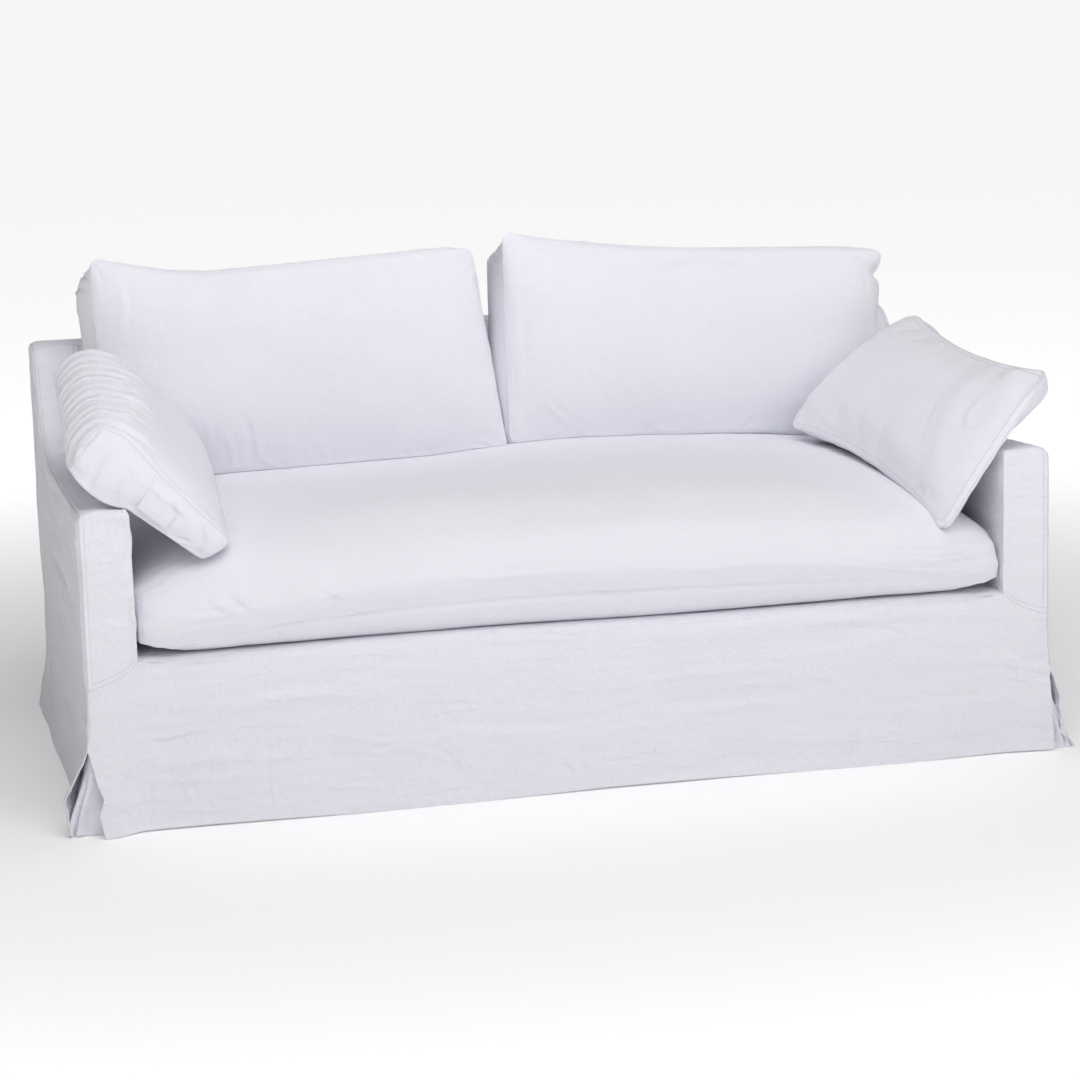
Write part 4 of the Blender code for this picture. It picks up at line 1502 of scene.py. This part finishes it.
def build_cover():
    sewn_sheet(skirt_front(), "skirt_front")
    for side, hand in SIDES:
        sewn_sheet(arm_front(side, hand), "arm_front_" + hand)
        sewn_sheet(arm_top(side, hand), "arm_top_" + hand)
        sewn_sheet(side_panel(side, hand), "side_" + hand)
        sewn_sheet(arm_inside(side, hand), "arm_inside_" + hand)
    sewn_sheet(back_inside(), "back_inside")
    sewn_sheet(back_top(), "back_top")
    sewn_sheet(back_outside(), "back_outside")
    sewn_sheet(seat_deck(), "seat_deck")
    for side, hand in SIDES:
        for end, where in ((-1, "front"), (1, "rear")):
            name = "vent_" + where + "_" + hand
            sewn_sheet(vent(side, end, name), name)


def build_cushions():
    seat = seat_cushion()
    stuffed(seat, "seat_cushion")
    left = back_cushion(BACK_LEFT, "left", 101, [seat])
    stuffed(left, "back_cushion_left")
    right = back_cushion(BACK_RIGHT, "right", 201, [seat, left])
    stuffed(right, "back_cushion_right")
    pillow = arm_pillow(PILLOW_LEFT, "left", 301, [seat, left])
    stuffed(pillow, "arm_pillow_left")
    pillow = arm_pillow(PILLOW_RIGHT, "right", 401, [seat, right])
    stuffed(pillow, "arm_pillow_right")
    sewn_sheet(placket(PILLOW_LEFT), "pillow_placket")


# ---------------------------------------------------------------- studio

CAMERA_PLACE = Vector((-1.2923, -5.7373, 1.5885))
CAMERA_LENS = 95.46
CAMERA_YAW = -12.983    # degrees round from the front
CAMERA_PITCH = 11.380   # degrees looking down
CAMERA_ROLL = -1.473    # degrees


def camera():
    """The camera at the photograph's angle."""
    yaw, pitch, roll = (math.radians(a) for a in (CAMERA_YAW, CAMERA_PITCH, CAMERA_ROLL))
    back = Vector((math.sin(yaw) * math.cos(pitch), -math.cos(yaw) * math.cos(pitch),
                   math.sin(pitch)))
    right = (-back).cross(Vector((0.0, 0.0, 1.0))).normalized()
    up = right.cross(-back)
    turned_right = math.cos(roll) * right + math.sin(roll) * up
    turned_up = -math.sin(roll) * right + math.cos(roll) * up
    data = bpy.data.cameras.new("camera")
    data.lens = CAMERA_LENS
    data.sensor_width = 36.0
    made = bpy.data.objects.new("camera", data)
    axes = Matrix((turned_right, turned_up, back)).transposed().to_4x4()
    made.matrix_world = Matrix.Translation(CAMERA_PLACE) @ axes
    bpy.context.scene.collection.objects.link(made)
    bpy.context.scene.camera = made


AIM = (0.0, 0.0, 0.45)  # middle of the sofa
SKY = 0.13              # strength of the even surroundings
FLOOR = 400.0           # half the floor's width
GLOW = {1: 0.9, 2: 4.0, 3: 0.17, 4: 0.80}   # from, to, and the floor's glow at each
LIGHTS = (
    # name, place, width, watts
    ("high front", (0.0, -3.0, 4.2), 3.0, 76.0),
    ("right", (3.0, -4.2, 3.2), 2.6, 33.0),
    ("left", (-2.6, -3.2, 3.6), 2.2, 17.0),
    ("top", (0.0, -0.6, 4.2), 3.5, 39.0),
    ("low front", (-1.6, -5.2, 2.4), 1.6, 8.0),
)


def softbox(name, place_at, size, watts):
    """A square soft light aimed at the middle of the sofa."""
    data = bpy.data.lights.new(name, "AREA")
    data.shape = "SQUARE"
    data.size = size
    data.energy = watts
    made = bpy.data.objects.new(name, data)
    made.location = place_at
    aim = Vector(AIM) - Vector(place_at)
    made.rotation_mode = "QUATERNION"
    made.rotation_quaternion = aim.to_track_quat("-Z", "Y")
    bpy.context.scene.collection.objects.link(made)


def studio():
    """Pale floor, even surroundings and soft lights."""
    world = bpy.data.worlds.new("studio")
    bpy.context.scene.world = world
    world.use_nodes = True
    plug(world.node_tree, world.node_tree.nodes["Background"],
         {"Color": (1.0, 1.0, 1.0, 1.0), "Strength": SKY})
    mesh = bpy.data.meshes.new("floor")
    corners = [(FLOOR * x, FLOOR * y, 0.0) for x, y in ((-1, -1), (1, -1), (1, 1), (-1, 1))]
    mesh.from_pydata(corners, [], [(0, 1, 2, 3)])
    look = bpy.data.materials.new("floor")
    look.use_nodes = True
    tree = look.node_tree
    place_at = add(tree, "ShaderNodeTexCoord").outputs["Object"]
    far = add(tree, "ShaderNodeVectorMath", {0: place_at}, operation="LENGTH").outputs["Value"]
    glow = add(tree, "ShaderNodeMapRange", {0: far, **GLOW}, interpolation_type="SMOOTHSTEP")
    plug(tree, tree.nodes["Principled BSDF"], {
        "Base Color": (0.92, 0.92, 0.92, 1.0),
        "Roughness": 0.9,
        "Emission Color": (1.0, 1.0, 1.0, 1.0),
        "Emission Strength": glow.outputs[0],
    })
    mesh.materials.append(look)
    floor = bpy.data.objects.new("floor", mesh)
    bpy.context.scene.collection.objects.link(floor)
    for row in LIGHTS:
        softbox(*row)
    bpy.context.scene.view_settings.view_transform = "Standard"


build_cover()
build_cushions()
camera()
studio()
